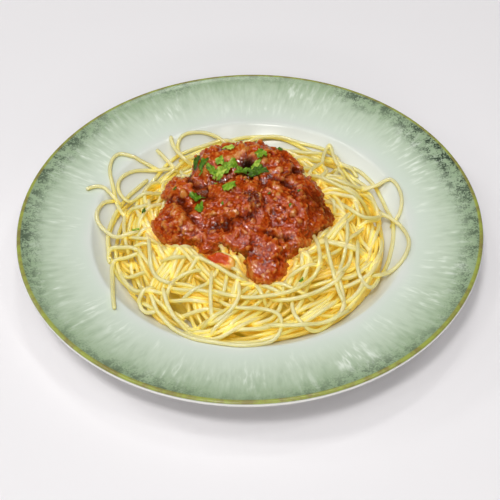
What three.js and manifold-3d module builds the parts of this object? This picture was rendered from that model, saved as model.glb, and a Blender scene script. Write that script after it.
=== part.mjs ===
// Pasta bolognese on its plate, in millimetres, +Z up, resting on the plane z = 0.
// A round stoneware plate carries a heap of spaghetti. Bolognese sauce lies on the heap in soft lobes,
// with chopped parsley on top and a thin smear of sauce in front.
import * as THREE from 'three';
import { mergeVertices } from 'three/addons/utils/BufferGeometryUtils.js';
import Module from 'manifold-3d';

const wasm = await Module();
wasm.setup();

// Plate: a flat floor, a cove up to the edge of the well, and a rim that rises gently to the lip
const PLATE_RADIUS = 140;
const PLATE_HEIGHT = 27;
const WELL_RADIUS = 96;
const WELL_EDGE_HEIGHT = 21;
const FLOOR_RADIUS = 72;
const FLOOR_HEIGHT = 8;
const RIM_CURVE = 1.2;
const WALL = 4.2;
const FOOT_RADIUS = 75;
const FOOT_WIDTH = 6;
const FOOT_RECESS = 2.5;
const PLATE_SEGMENTS = 56;

// Gaps that keep touching pieces apart: food on food, noodles beside sauce, and food on the plate
const GAP = 0.35;
const SAUCE_CLEARANCE = 0.55;
const PLATE_GAP = 0.7;

// Core of the heap: its outline radius every 22.5 degrees from +X towards +Y, and its dome
const CORE_OUTLINE = [82, 77, 75, 73, 70, 61, 68, 70, 76, 79, 83, 88, 91, 88, 84, 84];
const CORE_CENTRE_HEIGHT = 29;
const CORE_FALL = 12;
const CORE_FALL_RADIUS = 90;
const CORE_MIN_THICKNESS = 1.6;
const CORE_SECTORS = 48;
const CORE_TOP_RINGS = 8;
const CORE_BOTTOM_RINGS = 4;
const CORE_BOTTOM_CROWDING = 0.45;
const CORE_EDGE_ROUNDNESS = 6;

// Spaghetti: the real strand, drawn with five sides of the same area of section
const STRAND_RADIUS = 1.3;
const STRAND_SIDES = 5;
const STRAND_STEP = 8.5;
const STRAND_TURN = 2 * Math.PI / STRAND_SIDES;
const STRAND_CORNER = STRAND_RADIUS * Math.sqrt(STRAND_TURN / Math.sin(STRAND_TURN));
const STRAND_SINK = 0.3;
const STRAND_DIVE = 4;
const HEAP_RISE = 6;
const SETTLE_ROUNDS = 14;
const FIELD_CELL = 1;

// Sauce: lobes given as [x, y, z, half length, half width, half height, turn in degrees]
const SAUCE_HEART = new THREE.Vector3(0, 4, 22);
const SAUCE_SPREAD = new THREE.Vector3(50, 42, 19);
const SAUCE_LOBES = [
  [-17, 37, 33, 19, 17, 13, 20],
  [3, 39, 34, 22, 16, 13, 0],
  [17, 29, 32, 16, 19, 13, 10],
  [-34, 20, 27, 17, 16, 12, 0],
  [-38, -3, 25, 20, 17, 12, -25],
  [-4, 6, 27, 34, 26, 16, 0],
  [24, 6, 27, 22, 24, 15, 0],
  [37, 1, 26, 12, 13, 9, 0],
  [33, 19, 27, 13, 14, 10, 20],
  [-4, -17, 25, 28, 17, 11, -8],
  [20, -15, 25, 14, 15, 10, 10],
  [8, -31, 23, 12.5, 18, 9.5, 8],
];
const SAUCE_BLEND = 30;
const SAUCE_SECTORS = 60;
const SAUCE_TOP_RINGS = 19;
const SAUCE_BOTTOM_RINGS = 3;
const SAUCE_EDGE_POLAR = 0.62 * Math.PI;
const CLUMP_COUNT = 150;
const CLUMP_SEED = 5;
const CLUMP_POLAR_REACH = 0.6 * Math.PI;
const CLUMP_HEIGHT = 2.4;
const CLUMP_RADIUS = 5.5;
const CRATER = { x: 1.6, y: 37, radius: 6.5, depth: 9 };

// Smear of thin sauce in front of the mound
const SMEAR_START = [-30, -29];
const SMEAR_END = [-10, -43];
const SMEAR_HALF_WIDTH = 5.5;
const SMEAR_THICKNESS = 1.8;

// Chopped parsley: pieces of leaf given as [x, y, half length, half width, turn in degrees], and flecks
const LEAF_THICKNESS = 0.6;
const LEAF_GAP = 0.4;
const LEAF_CURL = 0.5;
const SHEET_COLUMNS = 4;
const SHEET_ROWS = 2;
const SHEET_REACH = 1.5;
const LEAVES = [
  [-12, 50, 3.4, 1.6, 5],
  [-32, 38, 4.0, 1.5, 70],
  [-26, 36, 3.6, 1.8, 60],
  [-17, 37, 2.4, 2.1, 0],
  [-20, 28, 5.0, 3.6, -20],
  [-11, 31, 3.8, 2.4, 10],
  [-4, 27, 4.4, 3.2, 0],
  [6, 31, 2.8, 2.0, 30],
  [8, 25, 6.0, 2.8, 8],
  [-13, 14, 5.0, 3.0, 8],
  [-31, 6, 4.0, 3.2, -30],
  [-30, -3, 3.0, 2.2, 80],
  [8, 44, 4.2, 2.6, -60],
];
const SAUCE_FLECKS = [[-29, 26], [-45, 16], [20, 46], [-2, 18], [30, 8], [-16, -2], [12, 6], [24, -6]];
const SPAGHETTI_FLECKS = [[-64, 8], [-69, -3], [29, -52]];
const FLECK_SIZE = 1.5;

// Noodles that show at the edge of the heap, as plan points from one end to the other.
// An end marked true goes down into the heap, and one marked false lies free.
const EDGE_NOODLES = [
  {
    ends: [true, true],
    route: [[-44, 56], [-65, 60], [-78, 65], [-87, 60], [-87, 47], [-84, 30], [-80, 12], [-70, -2]],
  },
  { ends: [true, true], route: [[-40, 59], [-62, 57], [-76, 50], [-83, 40], [-80, 31], [-68, 29], [-54, 34]] },
  { ends: [false, true], route: [[-101, 33], [-94, 36], [-86, 31], [-81, 18], [-75, -4], [-66, -16]] },
  { ends: [true, true], route: [[-74, 22], [-84, 26], [-92, 20], [-94, 8], [-88, -1], [-77, -3], [-62, 2]] },
  { ends: [true, true], route: [[-30, 52], [-42, 69], [-46, 79], [-36, 86], [-20, 85], [-6, 77], [4, 64]] },
  { ends: [false, true], route: [[-50, 82], [-48, 75], [-41, 66], [-30, 58]] },
  { ends: [false, true], route: [[-59, 71], [-53, 65], [-46, 56]] },
  { ends: [true, false], route: [[-56, -30], [-72, -21], [-83, -24], [-83, -40], [-80, -54], [-78, -67]] },
  { ends: [false, true], route: [[-54, -73], [-62, -68], [-65, -58], [-60, -50], [-44, -46]] },
  {
    ends: [true, true],
    route: [[-62, -42], [-55, -60], [-45, -78], [-28, -91], [-8, -95], [12, -91], [19, -79], [8, -69]],
  },
  { ends: [true, true], route: [[58, 28], [76, 33], [87, 37], [93, 29], [94, 14], [88, 2], [74, -6]] },
  { ends: [true, true], route: [[46, 46], [47, 62], [52, 74], [56, 64], [66, 52], [62, 40]] },
  { ends: [true, true], route: [[74, 14], [90, 2], [96, -12], [94, -26], [84, -40], [66, -44]] },
  { ends: [true, true], route: [[76, -46], [60, -66], [44, -76], [26, -82], [6, -86], [-10, -80]] },
];

// Noodles laid by rule: some wind round the heap from under the sauce, others turn in loops of their own
const NEST_COUNT = 12;
const LOOP_COUNT = 18;
const NEST_SEED = 15;
const NEST_FIRST_ANGLE = 200;
const NEST_ANGLES = 215;
const ROUTE_SHARES = [0, 0.2, 0.4, 0.6, 0.8, 1];
const GOLDEN_ANGLE = 137.508;

const COLOURS = {
  plate: { color: '#cfdccb', roughness: 0.25, metalness: 0 },
  spaghetti: { color: '#e6cd7c', roughness: 0.45, metalness: 0 },
  sauce: { color: '#8f3214', roughness: 0.4, metalness: 0 },
  smear: { color: '#c4581f', roughness: 0.35, metalness: 0 },
  parsley: { color: '#569d24', roughness: 0.6, metalness: 0 },
};

/** Repeatable numbers from 0 to 1, the same on every machine. */
function seeded(seed) {
  let state = seed;
  return () => {
    state = (state * 1664525 + 1013904223) % 4294967296;
    return state / 4294967296;
  };
}

/** A value between two ends, for a draw from 0 to 1. */
function between(low, high, draw) {
  return low + (high - low) * draw;
}

/** The same geometry with only its places left, and its shared corners merged. */
function welded(geometry) {
  const bare = geometry.clone();
  bare.deleteAttribute('normal');
  bare.deleteAttribute('uv');
  return mergeVertices(bare, 1e-4);
}

/** A solid that can be cut and joined, from a closed geometry. */
function toSolid(geometry) {
  const closed = welded(geometry);
  return new wasm.Manifold(new wasm.Mesh({
    numProp: 3,
    vertProperties: new Float32Array(closed.attributes.position.array),
    triVerts: new Uint32Array(closed.index.array),
  }));
}

/** A geometry from the places and triangles of a solid. */
function toGeometry(solid) {
  const mesh = solid.getMesh();
  const geometry = new THREE.BufferGeometry();
  geometry.setAttribute('position', new THREE.BufferAttribute(new Float32Array(mesh.vertProperties), 3));
  geometry.setIndex([...mesh.triVerts]);
  return geometry;
}

/** The geometry without scraps: only the connected piece with the most triangles is kept. */
function largestPiece(geometry) {
  const whole = welded(geometry);
  const index = whole.index.array;
  const parent = Array.from({ length: whole.attributes.position.count }, (_, i) => i);
  const find = (i) => {
    let root = i;
    while (parent[root] !== root) {
      parent[root] = parent[parent[root]];
      root = parent[root];
    }
    return root;
  };
  for (let i = 0; i < index.length; i += 3) {
    parent[find(index[i])] = find(index[i + 1]);
    parent[find(index[i + 1])] = find(index[i + 2]);
  }
  const pieces = new Map();
  for (let i = 0; i < index.length; i += 3) {
    const root = find(index[i]);
    const piece = pieces.get(root) ?? [];
    piece.push(index[i], index[i + 1], index[i + 2]);
    pieces.set(root, piece);
  }
  const [largest] = [...pieces.values()].sort((a, b) => b.length - a.length);
  whole.setIndex(largest);
  return whole;
}

/** Heights over the plan, kept in square cells, that food is laid on. */
class HeightField {
  constructor(reach, cell) {
    this.reach = reach;
    this.cell = cell;
    this.side = Math.ceil(2 * reach / cell) + 1;
    this.heights = new Float64Array(this.side * this.side).fill(-Infinity);
  }

  /** The cell number along one axis. */
  cellOf(place) {
    return Math.min(this.side - 1, Math.max(0, Math.round((place + this.reach) / this.cell)));
  }

  /** Fills each cell with a height worked out from its radius. */
  fill(heightAtRadius) {
    for (let row = 0; row < this.side; row += 1) {
      for (let column = 0; column < this.side; column += 1) {
        const x = column * this.cell - this.reach;
        const y = row * this.cell - this.reach;
        this.heights[row * this.side + column] = heightAtRadius(Math.hypot(x, y));
      }
    }
  }

  /** Takes up the top of a closed geometry, lifted by some height. */
  raise(geometry, lift = 0) {
    const { index } = geometry;
    const places = geometry.attributes.position;
    const corners = index ? index.count : places.count;
    const triangle = new THREE.Triangle();
    const [a, b, c] = [triangle.a, triangle.b, triangle.c];
    for (let i = 0; i < corners; i += 3) {
      a.fromBufferAttribute(places, index ? index.getX(i) : i);
      b.fromBufferAttribute(places, index ? index.getX(i + 1) : i + 1);
      c.fromBufferAttribute(places, index ? index.getX(i + 2) : i + 2);
      this.raiseTriangle(a, b, c, lift);
    }
  }

  /** Raises the cells under one triangle to its height. */
  raiseTriangle(a, b, c, lift) {
    const area = (b.x - a.x) * (c.y - a.y) - (c.x - a.x) * (b.y - a.y);
    if (Math.abs(area) < 1e-9) {
      return;
    }
    const firstRow = this.cellOf(Math.min(a.y, b.y, c.y));
    const lastRow = this.cellOf(Math.max(a.y, b.y, c.y));
    const firstColumn = this.cellOf(Math.min(a.x, b.x, c.x));
    const lastColumn = this.cellOf(Math.max(a.x, b.x, c.x));
    for (let row = firstRow; row <= lastRow; row += 1) {
      for (let column = firstColumn; column <= lastColumn; column += 1) {
        const x = column * this.cell - this.reach;
        const y = row * this.cell - this.reach;
        const u = ((x - a.x) * (c.y - a.y) - (c.x - a.x) * (y - a.y)) / area;
        const v = ((b.x - a.x) * (y - a.y) - (x - a.x) * (b.y - a.y)) / area;
        if (u >= 0 && v >= 0 && u + v <= 1) {
          const height = a.z + u * (b.z - a.z) + v * (c.z - a.z) + lift;
          const cell = row * this.side + column;
          this.heights[cell] = Math.max(this.heights[cell], height);
        }
      }
    }
  }

  /** The greatest height within a reach of a place. */
  highest(x, y, reach) {
    let height = -Infinity;
    for (let row = this.cellOf(y - reach); row <= this.cellOf(y + reach); row += 1) {
      for (let column = this.cellOf(x - reach); column <= this.cellOf(x + reach); column += 1) {
        height = Math.max(height, this.heights[row * this.side + column]);
      }
    }
    return height;
  }
}

/** Height of the plate's upper face at a radius. */
function plateTop(radius) {
  if (radius <= FLOOR_RADIUS) {
    return FLOOR_HEIGHT;
  }
  if (radius <= WELL_RADIUS) {
    const climb = (radius - FLOOR_RADIUS) / (WELL_RADIUS - FLOOR_RADIUS);
    return FLOOR_HEIGHT + (WELL_EDGE_HEIGHT - FLOOR_HEIGHT) * (1 - Math.cos(climb * Math.PI / 2));
  }
  const out = (radius - WELL_RADIUS) / (PLATE_RADIUS - WELL_RADIUS);
  return WELL_EDGE_HEIGHT + (PLATE_HEIGHT - WELL_EDGE_HEIGHT) * out ** RIM_CURVE;
}

/** Slope of the plate's upper face at a radius. */
function plateSlope(radius) {
  return plateTop(radius + 0.5) - plateTop(radius - 0.5);
}

/** The plate, turned from one closed profile. */
function plateGeometry() {
  const footInner = FOOT_RADIUS - FOOT_WIDTH;
  const underside = [77, 84, 91, 98, 134].map((r) => [r, plateTop(r) - WALL * Math.hypot(1, plateSlope(r))]);
  const upper = [118, WELL_RADIUS + 1, 92, 87, 82, 77, FLOOR_RADIUS].map((r) => [r, plateTop(r)]);
  const lip = [
    [PLATE_RADIUS - 1.2, PLATE_HEIGHT - 3.4],
    [PLATE_RADIUS, PLATE_HEIGHT - 1.8],
    [PLATE_RADIUS - 0.6, PLATE_HEIGHT - 0.3],
    [PLATE_RADIUS - 2, PLATE_HEIGHT],
  ];
  const profile = [
    [0, FOOT_RECESS],
    [footInner - 1.5, FOOT_RECESS],
    [footInner, 0],
    [FOOT_RADIUS, 0],
    ...underside,
    ...lip,
    ...upper,
    [0, FLOOR_HEIGHT],
  ].map(([r, z]) => new THREE.Vector2(r, z));
  return new THREE.LatheGeometry(profile, PLATE_SEGMENTS).rotateX(Math.PI / 2);
}

/** A closed body between a top and a bottom sheet of rings that meet in their outer ring. */
function lens(sectors, topRings, bottomRings, place) {
  const places = [];
  const triangles = [];
  const sheet = (rings, up) => {
    const rows = [];
    places.push(...place(0, 0, up));
    const middle = places.length / 3 - 1;
    for (let ring = 1; ring <= rings; ring += 1) {
      const row = [];
      for (let sector = 0; sector < sectors; sector += 1) {
        places.push(...place(ring / rings, sector * 2 * Math.PI / sectors, up));
        row.push(places.length / 3 - 1);
      }
      rows.push(row);
    }
    for (let sector = 0; sector < sectors; sector += 1) {
      const next = (sector + 1) % sectors;
      const fan = [middle, rows[0][sector], rows[0][next]];
      triangles.push(...(up ? fan : fan.reverse()));
      for (let ring = 1; ring < rings; ring += 1) {
        const [a, b] = [rows[ring - 1][sector], rows[ring][sector]];
        const [c, d] = [rows[ring][next], rows[ring - 1][next]];
        const quad = [a, b, c, a, c, d];
        triangles.push(...(up ? quad : quad.reverse()));
      }
    }
  };
  sheet(topRings, true);
  sheet(bottomRings, false);
  const geometry = new THREE.BufferGeometry();
  geometry.setAttribute('position', new THREE.Float32BufferAttribute(places, 3));
  geometry.setIndex(triangles);
  return mergeVertices(geometry, 1e-4);
}

const outlineCurve = new THREE.CatmullRomCurve3(
  CORE_OUTLINE.map((radius, i) => {
    const angle = i * 2 * Math.PI / CORE_OUTLINE.length;
    return new THREE.Vector3(radius * Math.cos(angle), radius * Math.sin(angle), 0);
  }),
  true,
);

/** The core's outline radius at an angle. */
function coreRadius(angle) {
  const turns = angle / (2 * Math.PI);
  const point = outlineCurve.getPoint(turns - Math.floor(turns));
  return Math.hypot(point.x, point.y);
}

/** Height of the core's dome at a radius. */
function domeHeight(radius) {
  return CORE_CENTRE_HEIGHT - CORE_FALL * (radius / CORE_FALL_RADIUS) ** 2;
}

/** The bare core of the heap, lifted by some height where it carries other food. */
function coreGeometry(lift = 0) {
  return lens(CORE_SECTORS, CORE_TOP_RINGS, CORE_BOTTOM_RINGS, (share, angle, up) => {
    const spread = up ? share : share ** CORE_BOTTOM_CROWDING;
    const radius = spread * coreRadius(angle);
    const bottom = plateTop(radius) + PLATE_GAP;
    const wave = Math.sin(radius / 9 + 2 * angle) * Math.cos(3 * angle);
    const full = Math.max(domeHeight(radius) + wave - bottom, CORE_MIN_THICKNESS);
    const thickness = full * Math.sqrt(1 - share ** CORE_EDGE_ROUNDNESS);
    const height = share === 1 ? bottom + lift / 2 : bottom + (up ? thickness + lift : 0);
    return [radius * Math.cos(angle), radius * Math.sin(angle), height];
  });
}

/** Centres of the clumps of mince, spread over the mound by a rule that fills it evenly. */
const clumps = (() => {
  const draw = seeded(CLUMP_SEED);
  return Array.from({ length: CLUMP_COUNT }, (_, i) => {
    const angle = i * GOLDEN_ANGLE * Math.PI / 180;
    const polar = Math.sqrt((i + 0.5) / CLUMP_COUNT) * CLUMP_POLAR_REACH;
    return {
      place: sauceLobes(sauceDirection(polar, angle), 0),
      radius: CLUMP_RADIUS * between(0.7, 1.3, draw()),
      height: CLUMP_HEIGHT * between(-0.5, 1, draw()),
    };
  });
})();

/** A direction from the heart of the sauce, spread evenly over its flat dome. */
function sauceDirection(polar, angle) {
  return new THREE.Vector3(
    Math.sin(polar) * Math.cos(angle) * SAUCE_SPREAD.x,
    Math.sin(polar) * Math.sin(angle) * SAUCE_SPREAD.y,
    Math.cos(polar) * SAUCE_SPREAD.z,
  ).normalize();
}

/** Where a ray from the heart leaves the outermost lobe, each lobe grown by some width. */
function sauceLobes(direction, grow) {
  let sum = 0;
  for (const [x, y, z, long, wide, tall, turn] of SAUCE_LOBES) {
    const upright = new THREE.Vector3(0, 0, 1);
    const radians = -turn * Math.PI / 180;
    const size = new THREE.Vector3(long + grow, wide + grow, tall + grow);
    const centre = new THREE.Vector3(x, y, z);
    const from = SAUCE_HEART.clone().sub(centre).applyAxisAngle(upright, radians).divide(size);
    const along = direction.clone().applyAxisAngle(upright, radians).divide(size);
    const a = along.lengthSq();
    const b = from.dot(along);
    const c = from.lengthSq() - 1;
    const inside = b * b - a * c;
    const reach = inside > 0 ? (-b + Math.sqrt(inside)) / a : 0;
    sum += Math.max(reach, 0) ** SAUCE_BLEND;
  }
  return SAUCE_HEART.clone().addScaledVector(direction, sum ** (1 / SAUCE_BLEND));
}

/** Relief of the sauce at a place on its smooth lobes: clumps of mince and one crater. */
function sauceRelief(place) {
  let relief = 0;
  for (const clump of clumps) {
    const near = 1 - place.distanceToSquared(clump.place) / clump.radius ** 2;
    relief += near > 0 ? clump.height * near * near : 0;
  }
  const crater = Math.hypot(place.x - CRATER.x, place.y - CRATER.y) / CRATER.radius;
  return relief - CRATER.depth * Math.exp(-crater * crater);
}

/** The mound of sauce as one closed body, grown by some width to keep noodles clear. */
function sauceGeometry(grow = 0) {
  return lens(SAUCE_SECTORS, SAUCE_TOP_RINGS, SAUCE_BOTTOM_RINGS, (share, angle, up) => {
    const polar = up ? share * SAUCE_EDGE_POLAR : Math.PI - share * (Math.PI - SAUCE_EDGE_POLAR);
    const direction = sauceDirection(polar, angle);
    const place = sauceLobes(direction, grow);
    return place.addScaledVector(direction, sauceRelief(place)).toArray();
  });
}

/** The strand of spaghetti along a curve, with flat ends. */
function strandGeometry(curve, steps) {
  const corners = Array.from({ length: STRAND_SIDES }, (_, i) => {
    const angle = i * 2 * Math.PI / STRAND_SIDES;
    return new THREE.Vector2(STRAND_CORNER * Math.cos(angle), STRAND_CORNER * Math.sin(angle));
  });
  return new THREE.ExtrudeGeometry(new THREE.Shape(corners), {
    steps,
    bevelEnabled: false,
    extrudePath: curve,
  });
}

/** Lays one noodle on what is below it, stiff enough to bridge small hollows. */
function layNoodle(field, route, [startDives, endDives]) {
  const plan = new THREE.CatmullRomCurve3(
    route.map(([x, y]) => new THREE.Vector3(x, y, 0)),
    false,
    'centripetal',
  );
  const steps = Math.round(plan.getLength() / STRAND_STEP);
  const points = plan.getSpacedPoints(2 * steps);
  const last = points.length - 1;
  const rest = points.map((p) => field.highest(p.x, p.y, STRAND_RADIUS) + STRAND_CORNER - STRAND_SINK);
  const ceilings = points.map((p) => {
    const radius = Math.hypot(p.x, p.y);
    return Math.max(domeHeight(radius) + HEAP_RISE, plateTop(radius) + PLATE_GAP + STRAND_CORNER);
  });
  const heights = [...rest];
  for (let round = 0; round < SETTLE_ROUNDS; round += 1) {
    for (let i = 1; i < last; i += 1) {
      heights[i] = Math.max(rest[i], (heights[i - 1] + heights[i + 1]) / 2);
    }
  }
  heights.forEach((height, i) => {
    heights[i] = Math.min(height, ceilings[i]);
  });
  const dive = (i, depth) => {
    const lowest = plateTop(Math.hypot(points[i].x, points[i].y)) + PLATE_GAP + STRAND_CORNER;
    heights[i] = Math.max(lowest, heights[i] - depth);
  };
  if (startDives) {
    dive(0, STRAND_DIVE);
    dive(1, STRAND_DIVE / 3);
  }
  if (endDives) {
    dive(last, STRAND_DIVE);
    dive(last - 1, STRAND_DIVE / 3);
  }
  points.forEach((point, i) => {
    point.z = heights[i];
  });
  const geometry = strandGeometry(new THREE.CatmullRomCurve3(points, false, 'centripetal'), steps);
  field.raise(geometry);
  return toSolid(geometry);
}

/** A plan point kept inside the outline of the core. */
function insideCore(x, y) {
  const angle = Math.atan2(y, x);
  const reach = Math.min(Math.hypot(x, y), coreRadius(angle) - 2);
  return [reach * Math.cos(angle), reach * Math.sin(angle)];
}

/** Plan points of a noodle that comes from under the sauce and winds round the heap. */
function nestRoute(number, draw) {
  const middle = NEST_FIRST_ANGLE + (number * GOLDEN_ANGLE) % NEST_ANGLES;
  const sweep = between(50, 90, draw()) * (draw() < 0.5 ? 1 : -1);
  const inner = between(0.45, 0.72, draw());
  const outer = between(0.76, 0.97, draw());
  return ROUTE_SHARES.map((share) => {
    const angle = (middle + sweep * (share - 0.5)) * Math.PI / 180;
    const radius = coreRadius(angle) * between(inner, outer, Math.sin(share * Math.PI / 2));
    return insideCore(radius * Math.cos(angle), radius * Math.sin(angle));
  });
}

/** Plan points of a noodle that turns in a loop of its own, the loops spread evenly over the heap. */
function loopRoute(number, draw) {
  const side = number * GOLDEN_ANGLE * Math.PI / 180;
  const out = coreRadius(side) * between(0.55, 0.86, draw());
  const radius = between(12, 26, draw());
  const start = draw() * 2 * Math.PI;
  const sweep = between(2, 3.6, draw());
  return ROUTE_SHARES.map((share) => {
    const angle = start + sweep * share;
    const stretched = radius * (1 + 0.35 * share);
    return insideCore(
      out * Math.cos(side) + stretched * Math.cos(angle),
      out * Math.sin(side) + stretched * Math.sin(angle),
    );
  });
}

/** A small flat chip of parsley on top of a height field. */
function fleckSolid(field, [x, y]) {
  const chip = new THREE.OctahedronGeometry(FLECK_SIZE);
  chip.scale(1, 0.6, 0.5);
  chip.rotateZ(x);
  chip.translate(x, y, field.highest(x, y, 0.5));
  return toSolid(chip);
}

/** A thin sheet of food between two like faces, draped over a height field. */
function drapedSheet(field, { x, y, long, wide, turn, thickness, gap, curl, outline }) {
  const [columns, rows] = [SHEET_COLUMNS, SHEET_ROWS];
  const places = [];
  const triangles = [];
  const cos = Math.cos(turn);
  const sin = Math.sin(turn);
  const at = (column, row, top) => (top ? (columns + 1) * (rows + 1) : 0) + column * (rows + 1) + row;
  for (const top of [false, true]) {
    for (let column = 0; column <= columns; column += 1) {
      for (let row = 0; row <= rows; row += 1) {
        const u = 2 * column / columns - 1;
        const v = 2 * row / rows - 1;
        const along = long * u;
        const across = wide * outline(u) * v;
        const px = x + along * cos - across * sin;
        const py = y + along * sin + across * cos;
        const lift = gap + curl * (u * u + Math.abs(v) * 0.5 + 0.4 * Math.sin(5 * u + 3 * v) + 0.4);
        places.push(px, py, field.highest(px, py, SHEET_REACH) + lift + (top ? thickness : 0));
      }
    }
  }
  const quad = (a, b, c, d) => triangles.push(a, b, c, a, c, d);
  const wall = (from, to) => quad(at(...from, false), at(...to, false), at(...to, true), at(...from, true));
  for (let column = 0; column < columns; column += 1) {
    for (let row = 0; row < rows; row += 1) {
      const [first, second, third, fourth] = [[0, 0], [1, 0], [1, 1], [0, 1]].map(
        ([right, ahead]) => [column + right, row + ahead],
      );
      quad(...[first, second, third, fourth].map(([i, j]) => at(i, j, true)));
      quad(...[first, fourth, third, second].map(([i, j]) => at(i, j, false)));
    }
    wall([column, 0], [column + 1, 0]);
    wall([column + 1, rows], [column, rows]);
  }
  for (let row = 0; row < rows; row += 1) {
    wall([0, row + 1], [0, row]);
    wall([columns, row], [columns, row + 1]);
  }
  const geometry = new THREE.BufferGeometry();
  geometry.setAttribute('position', new THREE.Float32BufferAttribute(places, 3));
  geometry.setIndex(triangles);
  return geometry;
}

/** One piece of parsley leaf, thin and wavy. */
function leafGeometry(field, [x, y, long, wide, turn]) {
  return drapedSheet(field, {
    x,
    y,
    long,
    wide,
    turn: turn * Math.PI / 180,
    thickness: LEAF_THICKNESS,
    gap: LEAF_GAP,
    curl: LEAF_CURL,
    outline: (u) => 0.35 + 0.65 * Math.cos(u * Math.PI / 2) + 0.12 * Math.sin(9 * u),
  });
}

/** The smear of thin sauce, a wedge that widens towards its far end. */
function smearGeometry(field, grow = 0) {
  const [x0, y0] = SMEAR_START;
  const [x1, y1] = SMEAR_END;
  return drapedSheet(field, {
    x: (x0 + x1) / 2,
    y: (y0 + y1) / 2,
    long: Math.hypot(x1 - x0, y1 - y0) / 2 + grow,
    wide: SMEAR_HALF_WIDTH + grow,
    turn: Math.atan2(y1 - y0, x1 - x0),
    thickness: SMEAR_THICKNESS + 2 * grow,
    gap: GAP - grow,
    curl: 0,
    outline: (u) => 0.55 + 0.4 * u,
  });
}

const group = new THREE.Group();

/** Adds one named piece to the group. */
function addPiece(name, geometry, finish) {
  const mesh = new THREE.Mesh(geometry, new THREE.MeshStandardMaterial(COLOURS[finish]));
  mesh.name = name;
  group.add(mesh);
}

addPiece('plate', plateGeometry(), 'plate');

// The sauce is cut by the core that it lies on, and carries its flecks of parsley
const core = coreGeometry();
const sauceSolid = toSolid(sauceGeometry()).subtract(toSolid(coreGeometry(GAP)));
const sauceField = new HeightField(PLATE_RADIUS, FIELD_CELL);
sauceField.raise(toGeometry(sauceSolid));
const sauce = SAUCE_FLECKS.reduce((all, place) => all.add(fleckSolid(sauceField, place)), sauceSolid);
addPiece('bolognese_sauce', largestPiece(toGeometry(sauce)), 'sauce');

const coreField = new HeightField(PLATE_RADIUS, FIELD_CELL);
coreField.raise(core);
addPiece('sauce_smear', smearGeometry(coreField), 'smear');

// The noodles are laid one on another, cut back from the sauce, and joined to the core
const heapField = new HeightField(PLATE_RADIUS, FIELD_CELL);
heapField.fill((radius) => plateTop(radius) + PLATE_GAP + STRAND_SINK);
heapField.raise(core);
const draw = seeded(NEST_SEED);
const inHeap = [true, true];
const noodles = [
  ...EDGE_NOODLES.map(({ route, ends }) => layNoodle(heapField, route, ends)),
  ...Array.from({ length: LOOP_COUNT }, (_, i) => layNoodle(heapField, loopRoute(i, draw), inHeap)),
  ...Array.from({ length: NEST_COUNT }, (_, i) => layNoodle(heapField, nestRoute(i, draw), inHeap)),
];
const keepClear = toSolid(sauceGeometry(SAUCE_CLEARANCE)).add(toSolid(smearGeometry(coreField, GAP)));
const laid = noodles.reduce((all, noodle) => all.add(noodle)).subtract(keepClear);
const heap = SPAGHETTI_FLECKS.reduce(
  (all, place) => all.add(fleckSolid(heapField, place)),
  laid.add(toSolid(core)),
);
addPiece('spaghetti', largestPiece(toGeometry(heap)), 'spaghetti');

// Each piece of parsley lies on the sauce and on the pieces laid before it
LEAVES.forEach((leaf, i) => {
  const geometry = leafGeometry(sauceField, leaf);
  sauceField.raise(geometry);
  addPiece(`parsley_${i + 1}`, geometry, 'parsley');
});

export default group;
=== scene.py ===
"""Pasta bolognese on its plate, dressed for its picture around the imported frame.

Each part of the meal is a class: the glazed plate, the mound of sauce, the heap of spaghetti, the smear
and the parsley. Shapes are worked out in millimetres as whole arrays, and go into the meshes in metres.
"""

import logging
import math
from dataclasses import dataclass, field
from enum import Enum
from typing import ClassVar

import bpy
import numpy as np
from mathutils import Matrix
from numpy.typing import NDArray


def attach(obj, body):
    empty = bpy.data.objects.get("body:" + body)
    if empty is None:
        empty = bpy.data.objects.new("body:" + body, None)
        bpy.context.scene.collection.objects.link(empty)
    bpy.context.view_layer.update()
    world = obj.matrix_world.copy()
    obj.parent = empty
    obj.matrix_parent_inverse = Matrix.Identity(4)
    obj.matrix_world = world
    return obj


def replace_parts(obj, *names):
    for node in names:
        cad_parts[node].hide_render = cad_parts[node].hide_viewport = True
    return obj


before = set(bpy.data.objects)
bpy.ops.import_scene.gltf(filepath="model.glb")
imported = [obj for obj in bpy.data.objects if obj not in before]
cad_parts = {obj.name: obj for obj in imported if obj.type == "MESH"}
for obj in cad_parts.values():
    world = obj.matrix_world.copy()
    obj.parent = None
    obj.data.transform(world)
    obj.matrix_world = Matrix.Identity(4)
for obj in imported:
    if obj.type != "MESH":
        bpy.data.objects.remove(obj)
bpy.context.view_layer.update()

Floats = NDArray[np.float64]
Ints = NDArray[np.int64]

MM = 0.001
BODY = "root"
log = logging.getLogger("pasta")


class Slot(Enum):
    """Material slots."""

    PLATE = "plate"
    SPAGHETTI = "spaghetti"
    SAUCE = "bolognese_sauce"
    SMEAR = "sauce_smear"
    PARSLEY = "parsley"


# Shapes


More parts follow.
